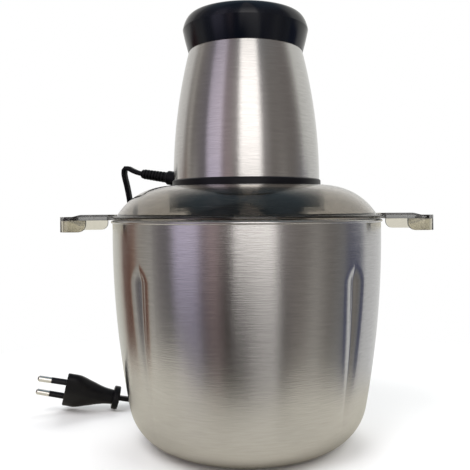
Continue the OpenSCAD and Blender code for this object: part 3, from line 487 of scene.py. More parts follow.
CORD_W = 5.0
CORD_T = 3.2
EXIT_TURN = math.radians(160)
EXIT_RISE = math.radians(9)
EXIT_R = 44.2
EXIT_Z = 158.0
RELIEF_L = 28.0
COLLAR_L = 9.5
EXIT_DIR = Vector((
    math.cos(EXIT_RISE) * math.cos(EXIT_TURN), math.cos(EXIT_RISE) * math.sin(EXIT_TURN),
    math.sin(EXIT_RISE),
))
EXIT_POINT = Vector((EXIT_R * math.cos(EXIT_TURN), EXIT_R * math.sin(EXIT_TURN), EXIT_Z))
RELIEF_TIP = EXIT_POINT + RELIEF_L * EXIT_DIR
DROP_ROUTE = [
    (-70.6, 25.7, 163.2), (-74, 26.7, 164.6), (-77, 27.4, 166.2), (-78.9, 27.9, 166.3), (-80, 28.4, 165),
    (-80.2, 28.9, 162.8), (-79.8, 29.7, 159.6), (-78.9, 31, 155), (-77.8, 33.6, 146.5), (-77.6, 37, 138.5),
    (-78, 41.5, 128), (-78.8, 48.5, 110), (-79.3, 55, 90), (-79.2, 60, 70), (-78.4, 65, 50),
    (-77, 70, 32), (-74, 75, 18), (-69, 80.5, 8.6), (-61.5, 87, 3.4), (-52, 93.6, 2.4),
    (-41, 100, 2.4), (-30.5, 107, 2.4), (-23.4, 115, 2.4), (-21.4, 119, 2.4),
]
TAIL_ROUTE = [
    (0, 91.8, 5.4), (-10, 90.8, 4.4), (-21, 88, 3), (-32, 83, 2.4), (-42, 76, 2.4), (-50, 68.4, 2.4),
    (-58, 62.8, 2.6), (-66.5, 59.2, 3.6), (-74.6, 57.1, 5.2), (-82.3, 55.6, 6.6),
]
PLUG_REAR = Vector((-90, 54, 8.2))
PLUG_TURN = math.radians(192)
PLUG_RISE = math.radians(13)
PLUG_ROLL = math.radians(44.5)
COIL_AT = (10, 122)
COIL_OUTER_R = 30.0
COIL_INNER_R = 25.0
COIL_LOW_Z = 2.4
COIL_END = 1350
COIL_STEP = 10
COIL_IN_AT = 305
COIL_OUT_AT = 985
COIL_SHIFT_OVER = 45
COIL_RAISE_AT = 630
COIL_RAISE_OVER = 36
HUMP_AT = 1006
HUMP_OVER = 42
HUMP_H = 1.8
LOBE_START = -68
LOBE_STEP = 17
LOBE_POINTS = 9
WAIST_SHARE = 0.78
LAID_Z = 6
CORD_SPACING = 1.6
TIE_WALL = 0.7
TIE_OUTER_R = 1.4
TIE_INNER_R = 0.8


def coil_point(turned_by):
    """A point of the coil after a number of degrees: out, in, up a layer and out again."""
    inward = smooth_step((turned_by - COIL_IN_AT) / COIL_SHIFT_OVER)
    outward = smooth_step((turned_by - COIL_OUT_AT) / COIL_SHIFT_OVER)
    raised = smooth_step((turned_by - COIL_RAISE_AT) / COIL_RAISE_OVER)
    hump = HUMP_H * smooth_step(1 - abs(turned_by - HUMP_AT) / HUMP_OVER)
    r = COIL_OUTER_R + (COIL_INNER_R - COIL_OUTER_R) * (inward - outward)
    a = math.radians(180 - turned_by)
    z = COIL_LOW_Z + CORD_T * raised + hump
    return (COIL_AT[0] + r * math.cos(a), COIL_AT[1] + r * math.sin(a), z)


def cord_route():
    coil = [coil_point(a) for a in range(0, COIL_END + 1, COIL_STEP)]
    return [Vector(p) for p in [RELIEF_TIP, *DROP_ROUTE, *coil, *TAIL_ROUTE, PLUG_REAR]]


def catmull(a, b, c, d, t):
    """The point at share t of the Catmull-Rom curve from b to c."""
    return 0.5 * (
        2 * b + (c - a) * t + (2 * a - 5 * b + 4 * c - d) * t * t + (3 * b - a - 3 * c + d) * t ** 3
    )


def resample(route, spacing):
    """A Catmull-Rom curve through the points, sampled about every spacing."""
    smooth = []
    last = len(route) - 1
    for i in range(last):
        a, b, c, d = (route[min(max(k, 0), last)] for k in (i - 1, i, i + 1, i + 2))
        steps = max(1, round((c - b).length / spacing))
        for s in range(steps):
            smooth.append(catmull(a, b, c, d, s / steps))
    smooth.append(route[last])
    return smooth


def flat_twin_section():
    """Outline of a flat twin cord: two round cores with a shallow groove on each side."""
    outline = []
    lobe = CORD_T / 2
    shift = CORD_W / 2 - lobe
    for side in (1, -1):
        for i in range(LOBE_POINTS):
            a = math.radians(LOBE_START + LOBE_STEP * i) + (0 if side > 0 else math.pi)
            outline.append((side * shift + lobe * math.cos(a), lobe * math.sin(a)))
        outline.append((0, side * lobe * WAIST_SHARE))
    return outline


def side_vectors(line):
    """The heading at each point and the direction of the cord's width, which turns slowly as it hangs."""
    headings = []
    for i in range(len(line)):
        headings.append((line[min(i + 1, len(line) - 1)] - line[max(i - 1, 0)]).normalized())
    start = Vector((-math.sin(EXIT_TURN), math.cos(EXIT_TURN), 0)) * -1
    sides = []
    laid = next(i for i, p in enumerate(line) if p.z < LAID_Z)
    landing = Vector((-headings[laid].y, headings[laid].x, 0)).normalized()
    for i, heading in enumerate(headings):
        if i < laid:
            level = start.lerp(landing, smooth_step(i / laid)).normalized()
        else:
            level = Vector((-heading.y, heading.x, 0)).normalized()
        sides.append((level - heading * level.dot(heading)).normalized())
    return headings, sides


def sweep(name, line, section):
    headings, sides = side_vectors(line)
    points = []
    for p, heading, side in zip(line, headings, sides):
        up = heading.cross(side)
        points += [p - side * x + up * y for x, y in section]
    count = len(section)
    last = (len(line) - 1) * count
    faces = [list(range(count)), [last + i for i in range(count)][::-1]]
    for k in range(len(line) - 1):
        for i in range(count):
            j = (i + 1) % count
            faces.append([k * count + i, k * count + j, (k + 1) * count + j, (k + 1) * count + i])
    return mesh_object(name, points, faces, 60)


def make_cord(looks):
    line = resample(cord_route(), CORD_SPACING)
    cord = sweep("flex_cord", line, flat_twin_section())
    finish_piece(cord, "head", "black_rubber", looks, "cord_drop", "cord_coil", "cord_tail")
    length = sum((b - a).length for a, b in zip(line, line[1:]))
    return cord, [p * MM for p in line], length * MM


def make_tie(looks):
    """A soft tie wrapped round the coil, with rounded edges."""
    low, high = (Vector(c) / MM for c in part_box("cord_tie"))
    wall = TIE_WALL
    outline = rounded_box(low.x, low.z, high.x, high.z, TIE_OUTER_R)
    outer = prism("tie_outer", outline, low.y, high.y, "Y")
    outline = rounded_box(low.x + wall, low.z + wall, high.x - wall, high.z - wall, TIE_INNER_R)
    inner = prism("tie_inner", outline, low.y - 1, high.y + 1, "Y")
    tie = combine(outer, inner, "DIFFERENCE")
    tie.name = "coil_tie"
    shade(tie.data)
    return finish_piece(tie, "head", "black_plastic", looks, "cord_tie")


def rounded_box(x0, y0, x1, y1, r, steps=5):
    corners = [
        ((x1 - r, y1 - r), 0), ((x0 + r, y1 - r), 90), ((x0 + r, y0 + r), 180), ((x1 - r, y0 + r), 270)
    ]
    outline = []
    for centre, start in corners:
        outline += arc(centre, r, start, start + 90, steps)
    return outline


# Plug: a lofted moulding with a disc at its rear

PLUG_L = 37.0
PLUG_W = 35.3
PLUG_T = 13.7
DISC_R = 7.8
DISC_T = 4.2
DISC_EDGE_R = 0.8
PLUG_STEPS = 26
PLUG_FACE_EDGE = 0.6
PLUG_FACE_SHARE = 0.965
PLUG_CORNER_CUT = 0.2
NECK_START = DISC_T - 1.0
PLUG_SECTIONS = [
    (NECK_START, 9.4, 9.4, 3.9, 3.9),
    (0.3 * PLUG_L, 0.37 * PLUG_W, 0.76 * PLUG_T, 0.3 * PLUG_T, 0.17 * PLUG_W),
    (0.55 * PLUG_L, 0.64 * PLUG_W, 0.92 * PLUG_T, 0.38 * PLUG_T, 0.36 * PLUG_W),
    (0.78 * PLUG_L, 0.97 * PLUG_W, PLUG_T, 0.34 * PLUG_T, 0.56 * PLUG_W),
    (PLUG_L, PLUG_W, PLUG_T, 0.34 * PLUG_T, 0.56 * PLUG_W),
]


def plug_place():
    return (
        Matrix.Translation(PLUG_REAR * MM) @ Matrix.Rotation(PLUG_TURN, 4, "Z")
        @ Matrix.Rotation(-PLUG_RISE, 4, "Y") @ Matrix.Rotation(PLUG_ROLL, 4, "X")
    )


def plug_outline(w, t, side_h, flat_w, rounds=2):
    """The eight-cornered section of the plug with its corners cut round."""
    outline = [
        (w / 2, -side_h / 2), (w / 2, side_h / 2), (flat_w / 2, t / 2), (-flat_w / 2, t / 2),
        (-w / 2, side_h / 2), (-w / 2, -side_h / 2), (-flat_w / 2, -t / 2), (flat_w / 2, -t / 2),
    ]
    near, far = PLUG_CORNER_CUT, 1 - PLUG_CORNER_CUT
    for _ in range(rounds):
        cut = []
        for (ax, ay), (bx, by) in zip(outline, outline[1:] + outline[:1]):
            cut.append((ax + near * (bx - ax), ay + near * (by - ay)))
            cut.append((ax + far * (bx - ax), ay + far * (by - ay)))
        outline = cut
    return outline


def plug_station(x):
    """Measures of the plug's section at x, on a smooth curve through the key sections."""
    index = max(i for i in range(len(PLUG_SECTIONS) - 1) if PLUG_SECTIONS[i][0] <= x)
    rows = [PLUG_SECTIONS[min(max(index + k, 0), len(PLUG_SECTIONS) - 1)] for k in (-1, 0, 1, 2)]
    t = (x - rows[1][0]) / (rows[2][0] - rows[1][0])
    values = []
    for a, b, c, d in zip(*(row[1:] for row in rows)):
        values.append(min(catmull(a, b, c, d, t), max(b, c)))
    return values


def make_plug(looks):
    stations = [NECK_START + (PLUG_L - NECK_START) * i / PLUG_STEPS for i in range(PLUG_STEPS + 1)]
    points = []
    for x in stations:
        shrink = 1.0 if x < PLUG_L - 0.1 else PLUG_FACE_SHARE
        outline = plug_outline(*plug_station(min(x, PLUG_L - 0.01)))
        points += [(x, shrink * y, shrink * z) for y, z in outline]
    inset = PLUG_L - PLUG_FACE_EDGE
    ring = len(points) // len(stations)
    points[-ring:-ring] = [(inset, y, z) for y, z in plug_outline(*plug_station(inset))]
    rows = len(points) // ring
    faces = [list(range(ring)), [(rows - 1) * ring + i for i in range(ring)][::-1]]
    for k in range(rows - 1):
        for i in range(ring):
            j = (i + 1) % ring
            faces.append([k * ring + i, (k + 1) * ring + i, (k + 1) * ring + j, k * ring + j])
    body = mesh_object("plug_loft", points, faces, 40)
    edge = DISC_EDGE_R
    low_edge = arc((DISC_R - edge, edge), edge, -90, 0, 5)
    high_edge = arc((DISC_R - edge, DISC_T - edge), edge, 0, 90, 5)
    disc = lathe("plug_disc", [(0, 0), *low_edge, *high_edge, (0, DISC_T)], 64)
    disc.data.transform(Matrix.Rotation(math.pi / 2, 4, "Y"))
    plug = combine(body, disc, "UNION")
    plug.name = "plug_moulding"
    plug.data.transform(plug_place())
    shade(plug.data, 38)
    return finish_piece(plug, "head", "black_rubber", looks, "plug_body")


# Strain relief: a collar in the sleeve and a ribbed tail

RELIEF_HEAD_R = 6.3
RELIEF_HEAD_Z = (-6.8, -5.2)
RELIEF_COLLAR_R = 4.5
RELIEF_NECK_R = 2.9
RELIEF_END_R = 2.6
RIBS = 8
RIB_R = 3.5
RIB_TAPER = 0.3
RIB_DEPTH = 0.75


def make_strain_relief(looks):
    head_low, head_high = RELIEF_HEAD_Z
    profile = [
        (0, head_low), (RELIEF_HEAD_R, head_low), (RELIEF_HEAD_R, head_high),
        (RELIEF_COLLAR_R, head_high), (RELIEF_COLLAR_R, COLLAR_L - 0.5),
        (RELIEF_COLLAR_R - 0.5, COLLAR_L), (RELIEF_NECK_R, COLLAR_L + 0.1),
    ]
    pitch = (RELIEF_L - COLLAR_L - 1) / RIBS
    for i in range(RIBS):
        z = COLLAR_L + 0.3 + i * pitch
        r = RIB_R - RIB_TAPER * i / (RIBS - 1)
        profile += [
            (r - 0.15, z), (r, z + 0.25), (r, z + pitch * 0.5), (r - 0.15, z + pitch * 0.62),
            (r - RIB_DEPTH, z + pitch * 0.72), (r - RIB_DEPTH, z + pitch * 0.95),
        ]
    profile += [(RELIEF_NECK_R, RELIEF_L - 0.5), (RELIEF_END_R, RELIEF_L), (0, RELIEF_L)]
    relief = lathe("relief_sheath", profile, 48)
    turn = Matrix.Rotation(EXIT_TURN, 4, "Z") @ Matrix.Rotation(math.pi / 2 - EXIT_RISE, 4, "Y")
    relief.data.transform(Matrix.Translation(EXIT_POINT * MM) @ turn)
    return finish_piece(relief, "head", "black_rubber", looks, "strain_relief")


# Bowl: a sheet of even thickness with pressed grooves and a rolled rim

BOWL_R = 80.3
SHEET = 0.9
CORNER_R = 28.0
WALL_ARC_R = 560.0
UPRIGHT_Z = 125.0
BEAD_R = 0.9
WALL_CX = BOWL_R - WALL_ARC_R
CORNER_CX = WALL_CX + math.sqrt((WALL_ARC_R - CORNER_R) ** 2 - (UPRIGHT_Z - CORNER_R) ** 2)
TANGENT = math.degrees(math.atan2(CORNER_R - UPRIGHT_Z, CORNER_CX - WALL_CX))
GROOVE_TOP = 111.0
GROOVE_FULL = 99.0
GROOVE_END = 8.0
GROOVE_DEPTH = 2.1
GROOVE_W = 18.5
GROOVE_BLEND = 0.16
GROOVE_NARROWING = 0.38
CREASE_ROUND = 0.006
CREASE_SHIFT = 0.03
CREASE_POWER = 1.9
BOWL_FLOOR_R = 22
FINE_ZONE = math.radians(8.4)
FINE_COLUMNS = 44
COARSE_COLUMNS = 36


def groove_depth(z):
    """Depth of the crease at a height, pointed at the top and fading out downward."""
    rise = max(0.0, (z - GROOVE_END) / (GROOVE_FULL - GROOVE_END))
    fall = smooth_step((GROOVE_TOP - z) / (GROOVE_TOP - GROOVE_FULL)) if z > GROOVE_FULL else 1.0
    low, high = min(rise, fall), max(rise, fall)
    blend = max(0.0, 1 - (high - low) / GROOVE_BLEND)
    return GROOVE_DEPTH * (low - 0.25 * GROOVE_BLEND * blend * blend)


def dent_at(angle, z):
    """How far the wall is pressed in at a place."""
    depth = groove_depth(z)
    if depth <= 0:
        return 0.0
    quarter = math.pi / 2
    off = (angle - quarter / 2) % quarter
    off = min(off, quarter - off)
    u = off * BOWL_R / (GROOVE_W / 2 * (depth / GROOVE_DEPTH) ** GROOVE_NARROWING)
    crease = math.sqrt(u * u + CREASE_ROUND) - CREASE_SHIFT
    return depth * (1 - crease) ** CREASE_POWER if crease < 1 else 0.0


def bowl_wall(inset):
    """Profile of the floor corner and the wall, from the floor up."""
    corner = arc((CORNER_CX, CORNER_R), CORNER_R - inset, -90, TANGENT, 20)
    low = math.degrees(math.asin((GROOVE_FULL - UPRIGHT_Z) / (WALL_ARC_R - inset)))
    high = math.degrees(math.asin((GROOVE_TOP + 1 - UPRIGHT_Z) / (WALL_ARC_R - inset)))
    centre = (WALL_CX, UPRIGHT_Z)
    wall = arc(centre, WALL_ARC_R - inset, TANGENT, low, 44, 1)
    wall += arc(centre, WALL_ARC_R - inset, low, high, 18, 1)
    wall += arc(centre, WALL_ARC_R - inset, high, 0, 3, 1)
    return corner + wall


def make_bowl(looks):
    rim_z = BOWL_TOP - BEAD_R
    outer = bowl_wall(0)
    inner = bowl_wall(SHEET)[::-1]
    profile = [(0, 0), (BOWL_FLOOR_R, 0), *outer]
    profile += arc((BOWL_R, rim_z), BEAD_R, -90, 180, 12)
    profile += [*inner, (BOWL_FLOOR_R, SHEET), (0, SHEET)]
    fine = FINE_ZONE
    coarse = math.pi / 2 - 2 * fine
    angles = []
    for quarter in range(4):
        centre = math.pi / 4 + quarter * math.pi / 2
        angles += [centre - fine + 2 * fine * i / FINE_COLUMNS for i in range(FINE_COLUMNS)]
        angles += [centre + fine + coarse * i / COARSE_COLUMNS for i in range(COARSE_COLUMNS)]
    points, faces = turned(profile, angles, dent_at)
    bowl = mesh_object("bowl_shell", points, faces, 40)
    return finish_piece(bowl, "bowl", "brushed_steel", looks, "bowl")


# Lid: a dome with a well for the head, a flange, a plug skirt and two ears

LID_WALL = 2.0
FLANGE_TOP_EDGE_R = 0.7
FLANGE_LOW_EDGE_R = 0.3
FLANGE_R = 81.3
FLANGE_Z = BOWL_TOP + 0.3
FLANGE_TOP = FLANGE_Z + LID_WALL
DOME_FOOT_R = FLANGE_R - 3.2
WELL_R = 45.3
WELL_OUT_R = WELL_R + LID_WALL
WELL_Z = LID_TOP - 12.7
STEP_R = 35.3
STEP_Z = WELL_Z - 5.8
COLLAR_R = 18.0
COLLAR_Z = STEP_Z - 6.7
SKIRT_R = BOWL_R - SHEET - 1.9
SKIRT_IN_R = SKIRT_R - LID_WALL
SKIRT_Z = FLANGE_Z - 6.0
DOME_W = DOME_FOOT_R - WELL_OUT_R
DOME_H = LID_TOP - FLANGE_TOP
SHOULDER_R = (DOME_W ** 2 + DOME_H ** 2) / (2 * DOME_H)
EAR_REACH = 107.0
EAR_HALF_W = 29.6
EAR_CORNER_R = 6.5
EAR_SKIRT_H = 6.7
EAR_SKIRT_L = 15.9
EAR_NOSE_R = 4.5
EAR_STEP_L = 10.0
EAR_PAD_H = 1.2
EAR_PAD_INSET = 1.2
EAR_PAD_SLOPE = 3.5
EAR_PAD_STEPS = 12


def lid_profile():
    centre = (WELL_OUT_R, LID_TOP - SHOULDER_R)
    foot = math.degrees(math.asin((FLANGE_TOP - centre[1]) / SHOULDER_R))
    inner = math.degrees(math.acos((SKIRT_IN_R - WELL_OUT_R) / (SHOULDER_R - LID_WALL)))
    profile = [(WELL_R, LID_TOP - 0.3), (WELL_R + 0.3, LID_TOP)]
    profile += arc(centre, SHOULDER_R, 90, foot, 40)
    edge = FLANGE_TOP_EDGE_R
    profile += arc((FLANGE_R - edge, FLANGE_TOP - edge), edge, 90, 0, 4)
    edge = FLANGE_LOW_EDGE_R
    profile += arc((FLANGE_R - edge, FLANGE_Z + edge), edge, 0, -90, 3)
    profile += [
        (SKIRT_R, FLANGE_Z), (SKIRT_R, SKIRT_Z + 0.4), (SKIRT_R - 0.4, SKIRT_Z), (SKIRT_IN_R, SKIRT_Z),
    ]
    profile += arc(centre, SHOULDER_R - LID_WALL, inner, 90, 36)
    profile += [
        (WELL_OUT_R, WELL_Z - LID_WALL), (STEP_R + LID_WALL, WELL_Z - LID_WALL),
        (STEP_R + LID_WALL, STEP_Z - LID_WALL), (COLLAR_R + LID_WALL, STEP_Z - LID_WALL),
        (COLLAR_R + LID_WALL, COLLAR_Z), (COLLAR_R, COLLAR_Z), (COLLAR_R, STEP_Z),
        (STEP_R, STEP_Z), (STEP_R, WELL_Z), (WELL_R, WELL_Z),
    ]
    return profile


def ear_outline(inset, inner_x):
    x1 = EAR_REACH - inset
    y1 = EAR_HALF_W - inset
    r = EAR_CORNER_R - inset
    front = arc((x1 - r, r - y1), r, -90, 0, 10)
    back = arc((x1 - r, y1 - r), r, 0, 90, 10)
    return [(inner_x, -y1), *front, *back, (inner_x, y1)]


def make_ear():
    """One ear on the +X side: a plate with a raised inner part and a skirt round its outer end."""
    inner_x = SKIRT_R + 1.2
    skirt_x = EAR_REACH - EAR_SKIRT_L
    step_x = EAR_REACH - EAR_STEP_L
    skirt_z = FLANGE_Z - EAR_SKIRT_H
    ear = prism("ear", ear_outline(0, inner_x), skirt_z, FLANGE_TOP)
    hollow = prism("hollow", ear_outline(LID_WALL, 0), skirt_z - 1, FLANGE_Z)
    combine(ear, hollow, "DIFFERENCE")
    nose = (skirt_x + EAR_NOSE_R, skirt_z + EAR_NOSE_R)
    side = [
        (0, skirt_z - 1), (nose[0], skirt_z - 1), *arc(nose, EAR_NOSE_R, 270, 180, 8), (skirt_x, FLANGE_Z),
        (0, FLANGE_Z),
    ]
    cut = prism("cut", side, -EAR_HALF_W - 1, EAR_HALF_W + 1, "Y")
    combine(ear, cut, "DIFFERENCE")
    pad_outline = [(inner_x, FLANGE_TOP - 0.5), (step_x + EAR_PAD_SLOPE, FLANGE_TOP - 0.5)]
    for i in range(EAR_PAD_STEPS + 1):
        x = step_x + EAR_PAD_SLOPE - 2 * EAR_PAD_SLOPE * i / EAR_PAD_STEPS
        pad_outline.append((x, FLANGE_TOP - 0.1 + (EAR_PAD_H + 0.1) * smooth_step(i / EAR_PAD_STEPS)))
    pad_outline.append((inner_x, FLANGE_TOP + EAR_PAD_H))
    pad = prism("pad", pad_outline, EAR_PAD_INSET - EAR_HALF_W, EAR_HALF_W - EAR_PAD_INSET, "Y")
    combine(ear, pad, "UNION")
    return round_edges(ear, 0.6, 3)


EAR_LOOK = 1
# The edge look is a painted shade on the ears' cut ends and pad sides
EDGE_LOOK = 2
WELL_LOOK = 3


def make_lid(looks):
    points, faces = turned(lid_profile(), even_angles(200))
    lid = mesh_object("lid_shell", points, faces)
    for turn in (0, math.pi):
        ear = make_ear()
        ear.data.transform(Matrix.Rotation(turn, 4, "Z"))
        combine(lid, ear, "UNION")
    shade(lid.data, 30)
    finish_piece(lid, "lid", "smoky_plastic", looks, "lid")
    for name in ("smoky_ear", "edge_painted_shade", "smoky_well"):
        lid.data.materials.append(looks[name])
    skirt_end = EAR_REACH - EAR_SKIRT_L + EAR_NOSE_R + 0.5
    pad_end = EAR_REACH - EAR_STEP_L - 1
    # Cut ends of the skirt and sides of the pad take the near-black edge look, a painted shade
    for face in lid.data.polygons:
        x, y, z = face.center / MM
        inward = face.normal.x * math.copysign(1, x) < -0.4
        cut_end = inward and z < FLANGE_Z - 0.2 and abs(x) < skirt_end
        pad_side = z > FLANGE_TOP + 0.05 and abs(face.normal.y) > 0.5 and abs(x) < pad_end
        if math.hypot(x, y) < WELL_OUT_R + 0.1 and z < LID_TOP - 1:
            face.material_index = WELL_LOOK
        elif math.hypot(x, y) > FLANGE_R + 0.1:
            face.material_index = EDGE_LOOK if cut_end or pad_side else EAR_LOOK
    return lid


# Motor head: the steel sleeve and the black cap

SLEEVE_R = 44.2
SLEEVE_T = 0.8
SLEEVE_ARC_R = 317.0
SLEEVE_STEPS = 40
RELIEF_HOLE_R = 4.55
RELIEF_HOLE_HALF = 9


def sleeve_r_at(z, inset=0.0):
    return SLEEVE_R - SLEEVE_ARC_R + math.sqrt((SLEEVE_ARC_R - inset) ** 2 - (z - SLEEVE_FOOT) ** 2)


def make_sleeve(looks):
    height = SLEEVE_TOP - SLEEVE_FOOT
    levels = [SLEEVE_FOOT + height * i / SLEEVE_STEPS for i in range(SLEEVE_STEPS + 1)]
    profile = [(sleeve_r_at(z), z) for z in levels]
    profile += [(sleeve_r_at(z, SLEEVE_T), z) for z in levels[::-1]]
    sleeve = lathe("sleeve_shell", profile, 200)
    half = RELIEF_HOLE_HALF
    hole = lathe("hole", [(0, -half), (RELIEF_HOLE_R, -half), (RELIEF_HOLE_R, half), (0, half)], 48)
    turn = Matrix.Rotation(EXIT_TURN, 4, "Z") @ Matrix.Rotation(math.pi / 2 - EXIT_RISE, 4, "Y")
    hole.data.transform(Matrix.Translation(EXIT_POINT * MM) @ turn)
    combine(sleeve, hole, "DIFFERENCE")
    shade(sleeve.data, 30)
    return finish_piece(sleeve, "head", "brushed_steel", looks, "sleeve")


CAP_R = 38.1
CAP_FLARE_H = 11.9
CAP_TOP_R = 32.7
CAP_WALL = 2.2
CAP_LIP = 1.2
CAP_LIP_T = 0.3
CAP_CORNER = math.radians(12)
CAP_SPIGOT_H = 7
CAP_GAP = 0.02
FLARE_STEPS = 12
SHOULDER_STEPS = 24
BUTTON_HOLE_R = 22.0
BUTTON_HOLE_EDGE_R = 0.6
BUTTON_BAR_W = 3.0


def cap_side(inset, foot_r, foot_z):
    """Flare from the foot up to the widest edge, then a rounded shoulder."""
    side = []
    edge_z = SLEEVE_TOP + CAP_FLARE_H
    for i in range(FLARE_STEPS + 1):
        k = i / FLARE_STEPS
        widen = 1.2 * k - 0.2 * k * k
        side.append((foot_r - inset + (CAP_R - foot_r) * widen, foot_z + (edge_z - foot_z) * k))
    shoulder_h = CAP_TOP - SLEEVE_TOP - CAP_FLARE_H - inset
    for i in range(1, SHOULDER_STEPS + 1):
        a = CAP_CORNER + (math.pi / 2 - CAP_CORNER) * i / SHOULDER_STEPS
        inward = max(0.0, math.cos(a) / math.cos(CAP_CORNER)) ** 1.1
        upward = (math.sin(a) - math.sin(CAP_CORNER)) / (1 - math.sin(CAP_CORNER))
        r = CAP_TOP_R - inset + (CAP_R - CAP_TOP_R) * inward
        side.append((r, edge_z + shoulder_h * upward ** 1.1))
    return side


def make_cap(looks):
    foot_r = sleeve_r_at(SLEEVE_TOP)
    skin_z = CAP_TOP - CAP_WALL
    spigot_r = foot_r - SLEEVE_T - 0.3
    lip_z = SLEEVE_TOP - CAP_LIP
    lip_r = sleeve_r_at(lip_z)
    profile = cap_side(0, lip_r + CAP_LIP_T, lip_z)
    edge = BUTTON_HOLE_EDGE_R
    profile += arc((BUTTON_HOLE_R + edge, CAP_TOP - edge), edge, 90, 180, 4)
    profile += [(BUTTON_HOLE_R, skin_z)]
    profile += cap_side(CAP_WALL, foot_r, SLEEVE_TOP)[::-1]
    spigot_z = SLEEVE_TOP - CAP_SPIGOT_H
    profile += [
        (spigot_r - CAP_WALL, SLEEVE_TOP), (spigot_r - CAP_WALL, spigot_z), (spigot_r, spigot_z),
        (spigot_r, SLEEVE_TOP), (foot_r + CAP_GAP, SLEEVE_TOP), (lip_r + CAP_GAP, lip_z),
    ]
    cap = lathe("cap_shell", profile, 160, 20)
    bar_outline = rounded_box(-BUTTON_BAR_W / 2, skin_z, BUTTON_BAR_W / 2, CAP_TOP - 0.01, 0.4, 3)
    bar = prism("bar", bar_outline, -BUTTON_HOLE_R - 0.8, BUTTON_HOLE_R + 0.8, "Y")
    combine(cap, bar, "UNION")
    shade(cap.data, 20)
    return finish_piece(cap, "head", "black_gloss", looks, "top_cap")


# Button springs: each is a coil of wire that fills the box of its CAD spring

SPRING_R = 3.2
SPRING_WIRE_R = 0.4
SPRING_TURNS = 5
SPRING_TURN_STEPS = 32
SPRING_SIDES = 10


def make_button_spring(side, looks):
    """A coil of wire between the carrier and the button."""
    low, high = (Vector(c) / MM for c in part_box("button_spring_" + side))
    centre = (low + high) / 2
    steps = SPRING_TURNS * SPRING_TURN_STEPS
    points = []
    for i in range(steps + 1):
        turn = 2 * math.pi * i / SPRING_TURN_STEPS
        z = low.z + SPRING_WIRE_R + (high.z - low.z - 2 * SPRING_WIRE_R) * i / steps
        for k in range(SPRING_SIDES):
            round_wire = 2 * math.pi * k / SPRING_SIDES
            r = SPRING_R + SPRING_WIRE_R * math.cos(round_wire)
            up = SPRING_WIRE_R * math.sin(round_wire)
            points.append((centre.x + r * math.cos(turn), centre.y + r * math.sin(turn), z + up))
    last = steps * SPRING_SIDES
    faces = [list(range(SPRING_SIDES)), [last + k for k in range(SPRING_SIDES)][::-1]]
    for i in range(steps):
        for k in range(SPRING_SIDES):
            a, b = i * SPRING_SIDES + k, i * SPRING_SIDES + (k + 1) % SPRING_SIDES
            faces.append([a, a + SPRING_SIDES, b + SPRING_SIDES, b])
    spring = mesh_object("push_spring_" + side, points, faces, 60)
    finish_piece(spring, "head", "bright_steel", looks, "button_spring_" + side)
    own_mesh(spring)
    return spring


# Studio, in metres: a pale floor, a white surround for the camera, and bands of light round the object

FLOOR_HALF = 2.5
FLOOR_Z = -0.0002
FLOOR_COLOR = (0.92, 0.92, 0.92)
FLOOR_FADE = (0.16, 0.34)
NEAR_SIDE_Y = (0.02, -0.02)
TABLE_COLOR = (0.60, 0.57, 0.49)
TABLE_FRONT = -0.14
TABLE_FRONT_FADE = 0.01
TABLE_AT = (-0.035, 0, 0)
TABLE_R = 0.19
TABLE_SIDE_FADE = 0.03

# Directions: degrees from the camera's side toward +X, or one coordinate from -1 to 1

BACKDROP_Y = (0.5, 0.8)
BAND_CHANGE_Z = (0.0, 0.08)
HIGH_BANDS = [
    (-180, (0.80, 0.79, 0.77)), (-122, (0.70, 0.68, 0.65)), (-110, (0.28, 0.26, 0.24)),
    (-102, (0.42, 0.39, 0.36)), (-94, (0.21, 0.19, 0.18)), (-68, (0.20, 0.18, 0.20)),
    (-62, (0.65, 0.58, 0.68)), (-41, (0.80, 0.70, 0.80)), (-36, (0.38, 0.31, 0.33)),
    (-24, (0.36, 0.31, 0.31)), (-12, (0.60, 0.56, 0.54)), (25, (0.50, 0.47, 0.46)),
    (40, (0.22, 0.20, 0.185)), (84, (0.185, 0.165, 0.155)), (94, (0.32, 0.30, 0.28)),
    (104, (0.70, 0.69, 0.65)), (180, (0.82, 0.82, 0.80)),
]
LOW_BANDS = [
    (-180, (0.76, 0.76, 0.72)), (-138, (0.64, 0.63, 0.57)), (-130, (0.50, 0.45, 0.39)),
    (-125, (0.16, 0.09, 0.07)), (-114, (0.14, 0.065, 0.045)), (-107, (0.26, 0.16, 0.12)),
    (-99, (0.37, 0.34, 0.30)), (-86, (0.42, 0.40, 0.37)), (-76, (0.18, 0.165, 0.165)),
    (-65, (0.17, 0.16, 0.165)), (-57.5, (0.72, 0.66, 0.86)), (-43, (0.70, 0.64, 0.83)),
    (-36, (0.26, 0.21, 0.24)), (-27, (0.54, 0.40, 0.40)), (-18, (0.10, 0.08, 0.075)),
    (-8, (0.12, 0.10, 0.10)), (28, (0.28, 0.25, 0.24)), (45, (0.20, 0.18, 0.165)),
    (58, (0.34, 0.32, 0.295)), (72, (0.19, 0.175, 0.16)), (86, (0.215, 0.215, 0.215)),
    (92, (0.085, 0.09, 0.14)), (107, (0.09, 0.095, 0.15)), (116, (0.60, 0.60, 0.60)),
    (180, (0.77, 0.77, 0.76)),
]
CEILING = (0.25, 0.33, 0.39)
CEILING_Z = (0.7, 0.9)
FRONT_EDGES = [(-74, 0), (-62, 1), (28, 1), (44, 0)]
WINDOW_COLOR = (1.0, 0.955, 0.92)
WINDOW_CHANGE_Z = (-0.25, -0.05)
WINDOW_EDGES = [(-13, 0), (-9, 1), (21, 1), (26, 0)]
WINDOW_EDGES_LOW = [(-4, 0), (9, 0.75), (20, 1), (26, 1), (30, 0)]
FRONT_BY_HEIGHT = [
    (-1.0, 0.55), (-0.57, 0.48), (-0.44, 0.22), (-0.28, 0.16), (-0.06, 1.0), (0.4, 1.0), (0.8, 0.6),
    (1.0, 0.5),
]
